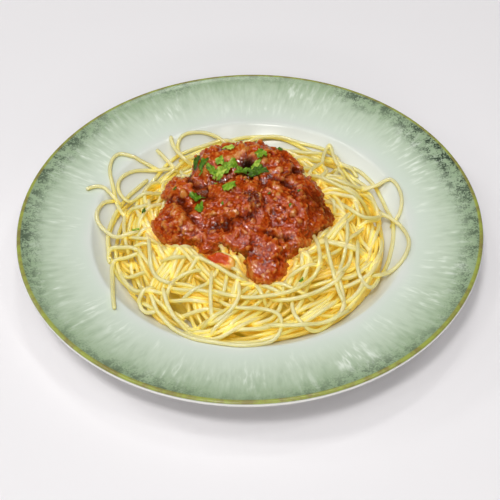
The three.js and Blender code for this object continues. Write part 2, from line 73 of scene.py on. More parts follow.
@dataclass
class Surface:
    """A mesh in the making: points in millimetres, arrays of faces, and numbers kept per point."""

    points: Floats
    faces: list[Ints]
    values: dict[str, Floats] = field(default_factory=dict)

    def crossed(self, faces: Ints) -> Floats:
        """The cross product of each face's diagonals, or of two sides of a triangle."""
        corners = self.points[faces]
        return np.cross(corners[:, 2] - corners[:, 0], corners[:, -1] - corners[:, 1])

    def normals(self) -> Floats:
        """Unit normals at the points, each the sum of the cross products of its faces' diagonals.

        Returns:
            One vector per point.
        """
        total = np.zeros_like(self.points)
        for faces in self.faces:
            across = self.crossed(faces)
            for axis in range(3):
                weights = np.repeat(across[:, axis], faces.shape[1])
                total[:, axis] += np.bincount(faces.ravel(), weights, len(self.points))
        return total / np.maximum(np.linalg.norm(total, axis=1), 1e-12)[:, None]

    def turned_outwards(self) -> "Surface":
        """The same surface with its faces outwards, judged by the volume that they enclose.

        Returns:
            This surface, its faces turned over if the volume was less than nothing.
        """
        volume = 0.0
        for faces in self.faces:
            volume += float(np.sum(self.points[faces].mean(axis=1) * self.crossed(faces))) / 6
        if volume < 0:
            self.faces = [faces[:, ::-1] for faces in self.faces]
        return self

    def push(self, heights: Floats) -> None:
        """Moves each point along its normal by a height of its own."""
        self.points = self.points + self.normals() * heights[:, None]

    @staticmethod
    def joined(parts: list["Surface"]) -> "Surface":
        """One surface from several that keep the same numbers.

        Args:
            parts: the surfaces, in the order in which their points follow each other.

        Returns:
            The joined surface.
        """
        starts = np.cumsum([0] + [len(part.points) for part in parts])
        faces = [array + start for part, start in zip(parts, starts) for array in part.faces]
        values = {name: np.concatenate([part.values[name] for part in parts]) for name in parts[0].values}
        return Surface(np.concatenate([part.points for part in parts]), faces, values)


def grid_faces(rows: int, columns: int) -> Ints:
    """Quads between the rows of a grid whose last column meets its first.

    Args:
        rows: number of rows of points.
        columns: number of points in each row.

    Returns:
        The quads, as point numbers in row order.
    """
    row = np.arange(rows - 1)[:, None] * columns
    column = np.arange(columns)[None, :]
    following = (column + 1) % columns
    quads = [row + column, row + following, row + columns + following, row + columns + column]
    return np.stack(quads, axis=-1).reshape(-1, 4)


def closed_rings(rings: Floats, first: Floats, last: Floats) -> Surface:
    """A closed surface from rings of points, with a fan to one pole at each end.

    Args:
        rings: points by ring and by place in the ring.
        first: the pole before the first ring.
        last: the pole behind the last ring.

    Returns:
        The surface, with the two poles as its last points.
    """
    count, sides, _ = rings.shape
    points = np.concatenate([rings.reshape(-1, 3), first[None], last[None]])
    here = np.arange(sides)
    there = (here + 1) % sides
    end = (count - 1) * sides
    start_fan = np.stack([there, here, np.full(sides, count * sides)], axis=1)
    end_fan = np.stack([end + here, end + there, np.full(sides, count * sides + 1)], axis=1)
    return Surface(points, [grid_faces(count, sides), start_fan, end_fan]).turned_outwards()


def unit(vectors: Floats) -> Floats:
    """The vectors, scaled to a length of 1."""
    return vectors / np.linalg.norm(vectors, axis=-1, keepdims=True)


def full_turn(count: int) -> Floats:
    """Evenly spaced angles of one full turn."""
    return np.linspace(0, 2 * np.pi, count, endpoint=False)


def lens_rows(above: int, below: int) -> tuple[Floats, NDArray[np.bool_]]:
    """Rows of points on a lens, from near the middle of its upper face round its edge and back below.

    Args:
        above: number of rows on the upper face, with the edge.
        below: number of rows on the lower face.

    Returns:
        Each row's share of the way from the middle to the edge, and whether it is on the upper face.
    """
    share = np.concatenate([np.linspace(0, 1, above + 1)[1:], np.linspace(1, 0, below + 2)[1:-1]])
    return share, np.arange(len(share)) < above


def smoothed(values: Floats, rounds: int) -> Floats:
    """Values along a line, each averaged with its neighbours, both ends kept.

    Args:
        values: numbers or points along the line.
        rounds: how often they are averaged.

    Returns:
        The averaged values.
    """
    values = values.copy()
    for _ in range(rounds):
        values[1:-1] = (values[:-2] + 2 * values[1:-1] + values[2:]) / 4
    return values


def cubic(before: Floats, start: Floats, end: Floats, after: Floats, t: Floats) -> Floats:
    """Catmull-Rom cubic between two values, whose slope at each is half the step between its neighbours.

    Args:
        before: the value before the start.
        start: the value at the start.
        end: the value at the end.
        after: the value after the end.
        t: shares of the way from start to end.

    Returns:
        The value at each share.
    """
    bend = 2 * before - 5 * start + 4 * end - after
    twist = 3 * (start - end) + after - before
    return start + 0.5 * t * (end - before + t * (bend + t * twist))


def curve_through(corners: Floats, step: float, closed: bool = False) -> Floats:
    """Evenly spaced points on a smooth curve through corners.

    Each stretch is a cubic of its two corners and their neighbours, measured finely for the spacing.

    Args:
        corners: the corners, one a row.
        step: wanted distance between points.
        closed: whether the last corner joins the first.

    Returns:
        The points, one a row.
    """
    if closed:
        ring = np.concatenate([corners[-1:], corners, corners[:2]])
    else:
        ring = np.concatenate([2 * corners[:1] - corners[1:2], corners, 2 * corners[-1:] - corners[-2:-1]])
    before, start, end, after = ring[:-3, None], ring[1:-2, None], ring[2:-1, None], ring[3:, None]
    t = np.linspace(0, 1, 24, endpoint=False)[None, :, None]
    stretches = cubic(before, start, end, after, t)
    dense = np.concatenate([stretches.reshape(-1, corners.shape[1]), ring[-2:-1]])
    length = np.concatenate([[0.0], np.cumsum(np.linalg.norm(np.diff(dense, axis=0), axis=1))])
    places = np.linspace(0, length[-1], max(3, round(length[-1] / step) + 1))
    return np.stack([np.interp(places, length, axis) for axis in dense.T], axis=1)


def eased(values: Floats, low: float, high: float) -> Floats:
    """A smooth step: 0 up to low, 1 from high on, and a cubic in between.

    Args:
        values: the numbers to step.
        low: where the step starts.
        high: where it ends, which may be less than low.

    Returns:
        Numbers from 0 to 1.
    """
    share = np.clip((values - low) / (high - low), 0, 1)
    return share * share * (3 - 2 * share)


def hashed(cells: Ints, seed: int) -> Floats:
    """Three repeatable numbers from 0 to 1 for each whole-numbered cell.

    Args:
        cells: cell numbers, three a row.
        seed: picks another set of numbers.

    Returns:
        The numbers, three a row.
    """
    mask = np.int64(0xFFFFFFFF)
    x, y, z = np.moveaxis(cells, -1, 0)
    key = (x * 73856093 ^ y * 19349663 ^ z * 83492791 ^ seed * 2654435761) & mask
    drawn = []
    for _ in range(3):
        key = ((key ^ (key >> 15)) * 739982445) & mask
        key = ((key ^ (key >> 12)) * 695872825) & mask
        drawn.append((key ^ (key >> 15)) / 4294967296.0)
    return np.stack(drawn, axis=-1)


def soft_noise(points: Floats, size: float, seed: int) -> Floats:
    """Smooth noise from about -1 to 1: slopes drawn at the corners of a lattice, blended in between.

    Args:
        points: places, three numbers a row.
        size: lattice spacing in the same unit.
        seed: picks another pattern.

    Returns:
        One number for each place.
    """
    scaled = points / size
    base = np.floor(scaled).astype(np.int64)
    offset = scaled - base
    share = offset ** 3 * (offset * (6 * offset - 15) + 10)
    total = np.zeros(len(points))
    for corner in np.ndindex(2, 2, 2):
        slope = 2 * hashed(base + np.array(corner), seed) - 1
        weight = np.prod(np.where(corner, share, 1 - share), axis=1)
        total += weight * np.sum(slope * (offset - corner), axis=1)
    return 1.7 * total


def grain_noise(points: Floats, size: float, seed: int) -> tuple[Floats, Floats]:
    """Scattered grains: how far each place is from the nearest of seeds, one in each cell of a lattice.

    Args:
        points: places, three numbers a row.
        size: mean spacing of the grains in the same unit.
        seed: picks another scatter.

    Returns:
        The distance to the nearest seed as a share of the spacing, and a number per seed.
    """
    scaled = points / size
    base = np.floor(scaled).astype(np.int64)
    nearest = np.full(len(points), 9.0)
    kind = np.zeros(len(points))
    for corner in np.ndindex(3, 3, 3):
        cell = base + np.array(corner) - 1
        drawn = hashed(cell, seed)
        # A seed keeps a tenth of a cell away from the cell's walls
        gap = np.linalg.norm(scaled - cell - 0.1 - 0.8 * drawn, axis=1)
        closer = gap < nearest
        nearest = np.where(closer, gap, nearest)
        kind = np.where(closer, hashed(cell, seed + 77)[:, 0], kind)
    return nearest, kind


def linked(name: str, data: bpy.types.ID) -> bpy.types.Object:
    """A new object with this data, linked into the scene."""
    made = bpy.data.objects.new(name, data)
    bpy.context.scene.collection.objects.link(made)
    return made


def make_piece(name: str, surface: Surface, finish: "Finish") -> bpy.types.Object:
    """Makes one Blender object that rides on the body.

    Args:
        name: name of the piece.
        surface: its shape in millimetres.
        finish: its material.

    Returns:
        The new object, at the origin, unturned and unscaled.
    """
    mesh = bpy.data.meshes.new(name)
    sizes = np.concatenate([np.full(len(faces), faces.shape[1]) for faces in surface.faces])
    corners = np.concatenate([faces.ravel() for faces in surface.faces])
    mesh.vertices.add(len(surface.points))
    mesh.vertices.foreach_set("co", (surface.points * MM).ravel())
    mesh.loops.add(len(corners))
    mesh.loops.foreach_set("vertex_index", corners)
    mesh.polygons.add(len(sizes))
    mesh.polygons.foreach_set("loop_start", np.cumsum(sizes) - sizes)
    mesh.polygons.foreach_set("use_smooth", np.ones(len(sizes), dtype=bool))
    mesh.update(calc_edges=True)
    mesh.validate()
    for key, numbers in surface.values.items():
        kind, part = ("FLOAT_VECTOR", "vector") if numbers.ndim > 1 else ("FLOAT", "value")
        mesh.attributes.new(key, kind, "POINT").data.foreach_set(part, numbers.ravel())
    mesh.materials.append(finish.material())
    piece = linked(name, mesh)
    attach(piece, BODY)
    log.info("%s: %d triangles", name, np.sum(sizes - 2))
    return piece


# Finishes


def linear(colour: str) -> tuple[float, float, float, float]:
    """The linear colour of an sRGB hex value.

    Args:
        colour: the value, such as #ffcc00.

    Returns:
        Red, green, blue, and an alpha of 1.
    """
    parts = [int(colour[i:i + 2], 16) / 255 for i in (1, 3, 5)]
    red, green, blue = [p / 12.92 if p <= 0.04045 else ((p + 0.055) / 1.055) ** 2.4 for p in parts]
    return red, green, blue, 1.0


def add(tree: bpy.types.NodeTree, kind: str, inputs: dict | None = None, stops: tuple = (),
        **settings) -> bpy.types.NodeOutputs:
    """Adds a node with its settings and links.

    Args:
        tree: the material's node tree.
        kind: the node's type, without the words ShaderNode.
        inputs: for each socket, by name or number, a value, a hex colour, or the output that feeds it.
        stops: for a colour ramp, its places and hex colours.
        settings: properties of the node.

    Returns:
        The node's outputs.
    """
    made = tree.nodes.new("ShaderNode" + kind)
    for name, value in settings.items():
        setattr(made, name, value)
    for key, value in (inputs or {}).items():
        if isinstance(value, bpy.types.NodeSocket):
            tree.links.new(value, made.inputs[key])
        else:
            made.inputs[key].default_value = linear(value) if isinstance(value, str) else value
    while stops and len(made.color_ramp.elements) < len(stops):
        made.color_ramp.elements.new(0.5)
    for number, (place, colour) in enumerate(stops):
        made.color_ramp.elements[number].position = place
        made.color_ramp.elements[number].color = linear(colour)
    return made.outputs


def kept_numbers(tree: bpy.types.NodeTree, *names: str) -> dict[str, bpy.types.NodeSocket]:
    """The numbers that a mesh keeps at its points, by name."""
    return {name: add(tree, "Attribute", attribute_name=name)["Fac"] for name in names}


def mixed(tree: bpy.types.NodeTree, share: bpy.types.NodeSocket, under: bpy.types.NodeSocket | str,
          over: bpy.types.NodeSocket | str) -> bpy.types.NodeSocket:
    """Lays one colour over another.

    Args:
        tree: the material's node tree.
        share: how much of the upper colour shows, from 0 to 1.
        under: the lower colour.
        over: the upper colour.

    Returns:
        The mixed colour.
    """
    return add(tree, "Mix", {0: share, 6: under, 7: over}, data_type="RGBA")[2]


def multiplied(tree: bpy.types.NodeTree, value: bpy.types.NodeSocket, factor: float,
               plus: bpy.types.NodeSocket | float = 0.0) -> bpy.types.NodeSocket:
    """A number times a factor, plus another.

    Args:
        tree: the material's node tree.
        value: the number.
        factor: what it is multiplied by.
        plus: what is added.

    Returns:
        The result.
    """
    return add(tree, "Math", {0: value, 1: factor, 2: plus}, operation="MULTIPLY_ADD")[0]


@dataclass(frozen=True)
class Finish:
    """A material, made once and shared by the pieces that wear it."""

    name: ClassVar[str] = "finish"
    # Values of the shader's own sockets, and its settings
    constants: ClassVar[dict] = {}
    settings: ClassVar[dict] = {}

    def material(self) -> bpy.types.Material:
        """The material, made on first use.

        Returns:
            The material, named for what it is made of.
        """
        known = bpy.data.materials.get(self.name)
        if known:
            return known
        made = bpy.data.materials.new(self.name)
        made.use_nodes = True
        made.node_tree.nodes.clear()
        sockets = self.look(made.node_tree)
        shader = add(made.node_tree, "BsdfPrincipled", {**self.constants, **sockets}, **self.settings)
        add(made.node_tree, "OutputMaterial", {"Surface": shader[0]})
        return made

    def look(self, tree: bpy.types.NodeTree) -> dict[str, bpy.types.NodeSocket]:
        """Adds the nodes of this finish.

        Args:
            tree: the material's node tree.

        Returns:
            The outputs that feed the shader, by the names of its sockets.
        """
        return {}


@dataclass(frozen=True)
class ReactiveGlaze(Finish):
    """Stoneware dipped in a pale green reactive glaze and fired glossy.

    The glaze pools white in the well, runs outwards in pale streaks, and breaks to dark grey-green specks
    and an olive line where it thins at the lip. The underside is plain white glaze.
    """

    name = "glazed_stoneware"
    constants = {"Roughness": 0.2, "IOR": 1.5, "Specular IOR Level": 0.3}
    by_radius = (
        (0.0, "#e1e5e0"), (0.63, "#dee2dd"), (0.69, "#d6dcd5"), (0.73, "#cfdace"), (0.80, "#c7d4c3"),
        (0.88, "#b6c6af"), (0.95, "#9eb293"), (1.0, "#899e7b"),
    )

    def look(self, tree: bpy.types.NodeTree) -> dict[str, bpy.types.NodeSocket]:
        """Colour by radius, with streaks and specks that follow the rim; the plate keeps where each shows.

        Args:
            tree: the material's node tree.

        Returns:
            The outputs for colour and bump.
        """
        place = add(tree, "TexCoord")["Object"]
        polar = add(tree, "Attribute", attribute_name="polar")["Vector"]
        kept = kept_numbers(tree, "glaze", "streaky", "dusky", "speckled", "olive", "bare")
        colour = add(tree, "ValToRGB", {0: kept["glaze"]}, self.by_radius)[0]
        along = {"Vector": polar, "Scale": 1.0, "Detail": 2.0, "Roughness": 0.55}
        streaks = add(tree, "TexNoise", along)[0]
        pale = add(tree, "MapRange", {0: streaks, 1: 0.52, 2: 0.70, 4: kept["streaky"]})[0]
        colour = mixed(tree, pale, colour, "#dfe8dc")
        thin = add(tree, "MapRange", {0: streaks, 1: 0.50, 2: 0.32, 4: kept["dusky"]})[0]
        colour = mixed(tree, thin, colour, "#6f8a68")
        # Specks of about 1 mm in blotches of about 6 mm
        small = {"Vector": place, "Scale": 900.0, "Detail": 2.0, "Roughness": 0.7}
        large = {"Vector": place, "Scale": 160.0, "Detail": 3.0, "Roughness": 0.6}
        fine, blotch = [add(tree, "TexNoise", sockets)[0] for sockets in (small, large)]
        grit = multiplied(tree, blotch, 1.2, fine)
        speck = add(tree, "MapRange", {0: grit, 1: 1.02, 2: 1.24, 4: kept["speckled"]})[0]
        haze = multiplied(tree, kept["speckled"], 0.35)
        colour = mixed(tree, haze, colour, "#8ba184")
        colour = mixed(tree, speck, colour, "#2c392f")
        worn = add(tree, "MapRange", {0: blotch, 1: 0.42, 2: 0.62})[0]
        line = mixed(tree, worn, "#98a24c", "#87804a")
        colour = mixed(tree, kept["olive"], colour, line)
        colour = mixed(tree, kept["bare"], colour, "#f1f0ec")
        bump = add(tree, "Bump", {"Strength": 0.06, "Distance": 0.0006, "Height": streaks})[0]
        return {"Base Color": colour, "Normal": bump}


@dataclass(frozen=True)
class CookedPasta(Finish):
    """Durum wheat pasta, boiled and tossed in oil, through which light passes; its gaps glow golden by
    painted glow and shade.
    """

    name = "cooked_spaghetti"
    constants = {
        "Roughness": 0.3, "IOR": 1.4, "Specular IOR Level": 0.5, "Emission Color": "#f0c42c",
        # Painted glow: every strand glows a little, standing in for light that has travelled through many
        # strands, which the renderer's short paths lose
        "Emission Strength": 0.15,
        # The film of oil
        "Coat Weight": 0.7, "Coat Roughness": 0.1, "Coat IOR": 1.47,
        "Subsurface Weight": 1.0, "Subsurface Radius": (1.0, 0.85, 0.3),
        "Subsurface Scale": 0.005,
    }
    settings = {"subsurface_method": "BURLEY"}
    # Painted glow and shade: strands deeper in the heap take a more golden colour
    gap_glow_by_depth = ((0.0, "#c8c795"), (0.3, "#cbc887"), (0.6, "#ccc671"), (1.0, "#c8b459"))

    def look(self, tree: bpy.types.NodeTree) -> dict[str, bpy.types.NodeSocket]:
        """Painted glow and shade by depth, cream that is partly painted top light, and stains, as the heap
        keeps them.

        Args:
            tree: the material's node tree.

        Returns:
            The outputs for colour and bump.
        """
        place = add(tree, "TexCoord")["Object"]
        kept = kept_numbers(tree, "depth", "cream_and_top_light", "stain")
        colour = add(tree, "ValToRGB", {0: kept["depth"]}, self.gap_glow_by_depth)[0]
        colour = mixed(tree, kept["cream_and_top_light"], colour, "#cfceac")
        colour = mixed(tree, kept["stain"], colour, "#dd8a3c")
        # The boiled skin is uneven every 1.2 mm or so
        rough = add(tree, "TexNoise", {"Vector": place, "Scale": 800.0})[0]
        bump = add(tree, "Bump", {"Strength": 0.15, "Distance": 0.0002, "Height": rough})[0]
        return {"Base Color": colour, "Normal": bump}


@dataclass(frozen=True)
class Bolognese(Finish):
    """Minced meat stewed in tomato: rough crumbs under a wet film, brick red with tan bits of meat."""

    name = "bolognese"
    constants = {
        "Roughness": 0.5, "IOR": 1.4, "Specular IOR Level": 0.0, "Coat Roughness": 0.04,
        "Coat IOR": 1.55, "Subsurface Weight": 0.15, "Subsurface Radius": (1.0, 0.25, 0.08),
        "Subsurface Scale": 0.0015,
    }
    by_tone = ((0.0, "#5a1803"), (0.25, "#8c2b05"), (0.5, "#af400c"), (0.75, "#c15c1b"), (1.0, "#cb813a"))

    def look(self, tree: bpy.types.NodeTree) -> dict[str, bpy.types.NodeSocket]:
        """Colour by the mound's tone (painted light and shade), crumbs, browned places and grain, under a
        glossy coat.

        Args:
            tree: the material's node tree.

        Returns:
            The outputs for colour and bump.
        """
        place = add(tree, "TexCoord")["Object"]
        kept = kept_numbers(tree, "tone", "meat", "browned_and_crease_shade", "crater_shade")
        faces_to = add(tree, "Attribute", attribute_name="film")["Vector"]
        # Shreds of about 2 mm
        fine = add(tree, "TexNoise", {"Vector": place, "Scale": 520.0, "Detail": 3.0, "Roughness": 0.6})[0]
        # Grains about 1.7 mm and 1 mm wide, each a dome of its own tone, darker towards its edge as painted
        # shade
        tone, height = kept["tone"], multiplied(tree, fine, 0.6)
        for scale, rise, spread in ((580.0, 0.4, 0.18), (1050.0, 0.25, 0.1)):
            grain = add(tree, "TexVoronoi", {"Vector": place, "Scale": scale})
            dome = add(tree, "Math", {0: grain["Distance"], 1: 2.0}, operation="POWER")[0]
            height = multiplied(tree, dome, -rise, height)
            tone = multiplied(tree, dome, -0.4 * rise, tone)
            tone = multiplied(tree, grain["Color"], spread, tone)
        tone = multiplied(tree, fine, 0.8, tone)
        tone = multiplied(tree, tone, 1.0, -0.45)
        colour = add(tree, "ValToRGB", {0: tone}, self.by_tone)[0]
        # Tan meat; dark brown on browned places and, as painted shade, in creases; near black in the crater,
        # a painted shade
        for name, shade in (("meat", "#c98348"), ("browned_and_crease_shade", "#35150a"), ("crater_shade", "#1c0d05")):
            colour = mixed(tree, kept[name], colour, shade)
        dry = multiplied(tree, kept["browned_and_crease_shade"], 1.6, kept["crater_shade"])
        wet = add(tree, "Math", {0: 1.0, 1: dry}, operation="SUBTRACT", use_clamp=True)[0]
        bump = add(tree, "Bump", {"Strength": 0.8, "Distance": 0.001, "Height": height})[0]
        # The film ripples every 3 mm or so, which breaks the lamps' reflections into glints
        ripple = add(tree, "TexNoise", {"Vector": place, "Scale": 320.0, "Detail": 1.0})[0]
        rippled = {"Strength": 0.6, "Distance": 0.0015, "Height": ripple, "Normal": faces_to}
        film = add(tree, "Bump", rippled)[0]
        return {"Base Color": colour, "Normal": bump, "Coat Weight": wet, "Coat Normal": film}


@dataclass(frozen=True)
class ThinSauce(Finish):
    """Oily tomato sauce without meat, thin enough for the light noodles to warm its colour."""

    name = "thin_tomato_sauce"
    constants = {
        "Roughness": 0.15, "Specular IOR Level": 0.5, "Subsurface Weight": 0.3,
        "Subsurface Radius": (1.0, 0.3, 0.1), "Subsurface Scale": 0.002,
    }

    def look(self, tree: bpy.types.NodeTree) -> dict[str, bpy.types.NodeSocket]:
        """Colour by how thin the film is, with flecks.

        Args:
            tree: the material's node tree.

        Returns:
            The outputs for colour and bump.
        """
        place = add(tree, "TexCoord")["Object"]
        thin = add(tree, "Attribute", attribute_name="thin")["Fac"]
        # Flecks of pulp about 2 mm wide
        fleck = add(tree, "TexNoise", {"Vector": place, "Scale": 500.0, "Detail": 3.0})[0]
        tone = multiplied(tree, fleck, 0.9, thin)
        stops = ((0.25, "#b83007"), (0.8, "#d2530f"), (1.35, "#e2a237"))
        colour = add(tree, "ValToRGB", {0: tone}, stops)[0]
        bump = add(tree, "Bump", {"Strength": 0.4, "Distance": 0.0005, "Height": fleck})[0]
        return {"Base Color": colour, "Normal": bump}


@dataclass(frozen=True)
class ParsleyLeaf(Finish):
    """Fresh parsley, chopped: thin crinkled yellow-green leaf, painted lighter on raised folds and darker in
    sunken ones.
    """

    name = "parsley_leaf"
    constants = {
        "Roughness": 0.4, "Specular IOR Level": 0.2, "Subsurface Weight": 0.2,
        "Subsurface Radius": (0.4, 1.0, 0.1), "Subsurface Scale": 0.0006,
    }
    by_tone = ((0.0, "#283c05"), (0.45, "#527a12"), (0.75, "#80a428"), (1.0, "#bcd058"))

    def look(self, tree: bpy.types.NodeTree) -> dict[str, bpy.types.NodeSocket]:
        """Colour by leaf, and by fold as painted light and shade.

        Args:
            tree: the material's node tree.

        Returns:
            The outputs for colour and bump.
        """
        place = add(tree, "TexCoord")["Object"]
        tone = add(tree, "Attribute", attribute_name="tone")["Fac"]
        # The leaf puckers every 1.4 mm between its veins
        mottle = add(tree, "TexNoise", {"Vector": place, "Scale": 700.0, "Detail": 3.0})[0]
        tone = multiplied(tree, mottle, 0.8, tone)
        tone = multiplied(tree, tone, 1.0, -0.4)
        colour = add(tree, "ValToRGB", {0: tone}, self.by_tone)[0]
        bump = add(tree, "Bump", {"Strength": 0.5, "Distance": 0.0004, "Height": mottle})[0]
        return {"Base Color": colour, "Normal": bump}


@dataclass(frozen=True)
class PaleTable(Finish):
    """Matt white table top, one pale colour."""

    name = "matt_white_table"
    constants = {"Base Color": "#ebe9ec", "Roughness": 0.6}


# Plate


@dataclass
class Plate:
    """The stoneware plate, turned from one fine profile."""

    radius: float = 140.0
    height: float = 27.0
    well_radius: float = 96.0
    well_edge_height: float = 21.0
    floor_radius: float = 72.0
    floor_height: float = 8.0
    rim_curve: float = 1.2
    wall: float = 4.2
    foot_radius: float = 75.0
    foot_width: float = 6.0
    foot_recess: float = 2.5
    sectors: int = 288
    edge_softness: float = 1.1
    # The rim has streaks 2 to 3 mm wide and 11 mm long
    streaks_round: float = 44.0
    streak_length: float = 11.0
    # Places at the back where the specks crowd, in degrees round from the right, and half their width
    dark_places: tuple = (58.0, 112.0)
    dark_width: float = 9.0
    dark_strength: float = 0.55
    # Distances inwards from the lip's crest: the olive line's inner and outer fade, and that of the bare lip
    olive_in: tuple = (4.3, 3.5)
    olive_out: tuple = (0.9, 1.5)
    bare: tuple = (1.3, 0.8)

    def top(self, radius: Floats) -> Floats:
        """Height of the upper face: flat floor, a quarter wave up the cove, then a rim that lifts slowly.

        Args:
            radius: distances from the middle.

        Returns:
            The height at each.
        """
        climb = np.clip((radius - self.floor_radius) / (self.well_radius - self.floor_radius), 0, 1)
        cove = (self.well_edge_height - self.floor_height) * (1 - np.cos(climb * np.pi / 2))
        out = np.clip((radius - self.well_radius) / (self.radius - self.well_radius), 0, None)
        rim = (self.height - self.well_edge_height) * out ** self.rim_curve
        return self.floor_height + cove + rim

    def eased_top(self, radius: Floats) -> Floats:
        """The upper face, its corners rounded by averaging over a few millimetres."""
        shifts = np.linspace(-self.edge_softness, self.edge_softness, 9)
        return np.mean([self.top(np.abs(radius + shift)) for shift in shifts], axis=0)

    def profile(self) -> tuple[Floats, Floats]:
        """The closed profile from the middle of the underside round the lip to the middle of the top.

        Returns:
            Radius and height along the profile, and each place's way inwards from the lip's crest.
        """
        inner = self.foot_radius - self.foot_width
        under_radius = np.linspace(self.foot_radius + 2, self.radius - 6, 40)
        slope = self.top(under_radius + 0.5) - self.top(under_radius - 0.5)
        under = np.stack([under_radius, self.top(under_radius) - self.wall * np.hypot(1, slope)], axis=1)
        foot = np.array([
            [8, self.foot_recess], [inner - 6, self.foot_recess], [inner - 1.5, self.foot_recess - 0.2],
            [inner - 0.4, 0.5], [inner + 0.5, 0.05], [inner + 1.2, 0], [self.foot_radius - 1.2, 0],
            [self.foot_radius - 0.4, 0.1], [self.foot_radius + 0.4, 0.7],
        ])
        lip = curve_through(np.array([
            [self.radius - 3.4, self.height - 4.7], [self.radius - 1.0, self.height - 4.0],
            [self.radius - 0.15, self.height - 2.9], [self.radius - 0.05, self.height - 1.6],
            [self.radius - 0.6, self.height - 0.5], [self.radius - 1.9, self.height - 0.15],
            [self.radius - 3.6, self.height - 0.45],
        ]), 0.35)
        upper_radius = np.concatenate([
            np.linspace(self.radius - 5, self.well_radius + 3, 40),
            np.linspace(self.well_radius + 2.5, self.well_radius - 2.5, 26),
            np.linspace(self.well_radius - 3, self.floor_radius - 4, 34),
            np.linspace(self.floor_radius - 8, 6, 14),
        ])
        upper = np.stack([upper_radius, self.eased_top(upper_radius)], axis=1)
        line = np.concatenate([foot, under, lip, upper])
        travelled = np.concatenate([[0.0], np.cumsum(np.hypot(*np.diff(line, axis=0).T))])
        crest = len(foot) + len(under) + int(np.argmax(lip[:, 0]))
        return line, travelled - travelled[crest]

    def glazing(self, points: Floats, from_lip: Floats) -> dict[str, Floats]:
        """Where the glaze shows its colours, streaks, dusk, specks, olive line and bare white.

        Args:
            points: points of the plate.
            from_lip: how far each lies inwards from the crest of the lip, along the profile.

        Returns:
            The numbers by name, and the place in streaks as a vector that runs round and outwards.
        """
        reach = np.maximum(np.hypot(points[:, 0], points[:, 1]), 1e-6)
        side = np.column_stack([points[:, :2] / reach[:, None], np.zeros(len(points))])
        share = reach / self.radius
        turn = np.degrees(np.arctan2(side[:, 1], side[:, 0]))
        sector = 0.2 + 0.5 * side[:, 0] ** 2 + 0.5 * soft_noise(side, 0.6, 21)
        for middle in self.dark_places:
            sector += self.dark_strength * np.exp(-((turn - middle) / self.dark_width) ** 2)
        edge = eased(share + 0.09 * sector, 0.93, 1.03)
        clustered = 0.15 + 0.85 * eased(soft_noise(points, 17.0, 24), -0.35, 0.5)
        return {
            "polar": np.column_stack([side[:, :2] * self.streaks_round, reach / self.streak_length]),
            "glaze": share + 0.02 * soft_noise(points, 25.0, 22),
            "streaky": clustered * eased(share, 0.70, 0.78) * eased(share, 1.0, 0.86),
            "dusky": 0.22 * eased(share, 0.74, 0.9),
            "speckled": edge * np.clip(0.1 + 0.9 * sector, 0, 1),
            "olive": eased(from_lip, *self.olive_in) * eased(from_lip, *self.olive_out),
            "bare": eased(from_lip, *self.bare),
        }

    def build(self, finish: Finish) -> bpy.types.Object:
        """Turns the profile round Z and dresses it.

        Args:
            finish: the glaze.

        Returns:
            The plate, which stands for the CAD plate.
        """
        line, from_lip = self.profile()
        angle = full_turn(self.sectors)
        rings = np.stack([
            line[:, 0, None] * np.cos(angle), line[:, 0, None] * np.sin(angle),
            np.repeat(line[:, 1, None], self.sectors, axis=1),
        ], axis=-1)
        poles = np.array([[0, 0, self.foot_recess], [0, 0, self.floor_height]])
        surface = closed_rings(rings, *poles)
        inwards = np.concatenate([np.repeat(from_lip, self.sectors), [-200.0, 200.0]])
        surface.values = self.glazing(surface.points, inwards)
        plate = make_piece("plate_glazed", surface, finish)
        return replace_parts(plate, "plate")


# Heights over the plan


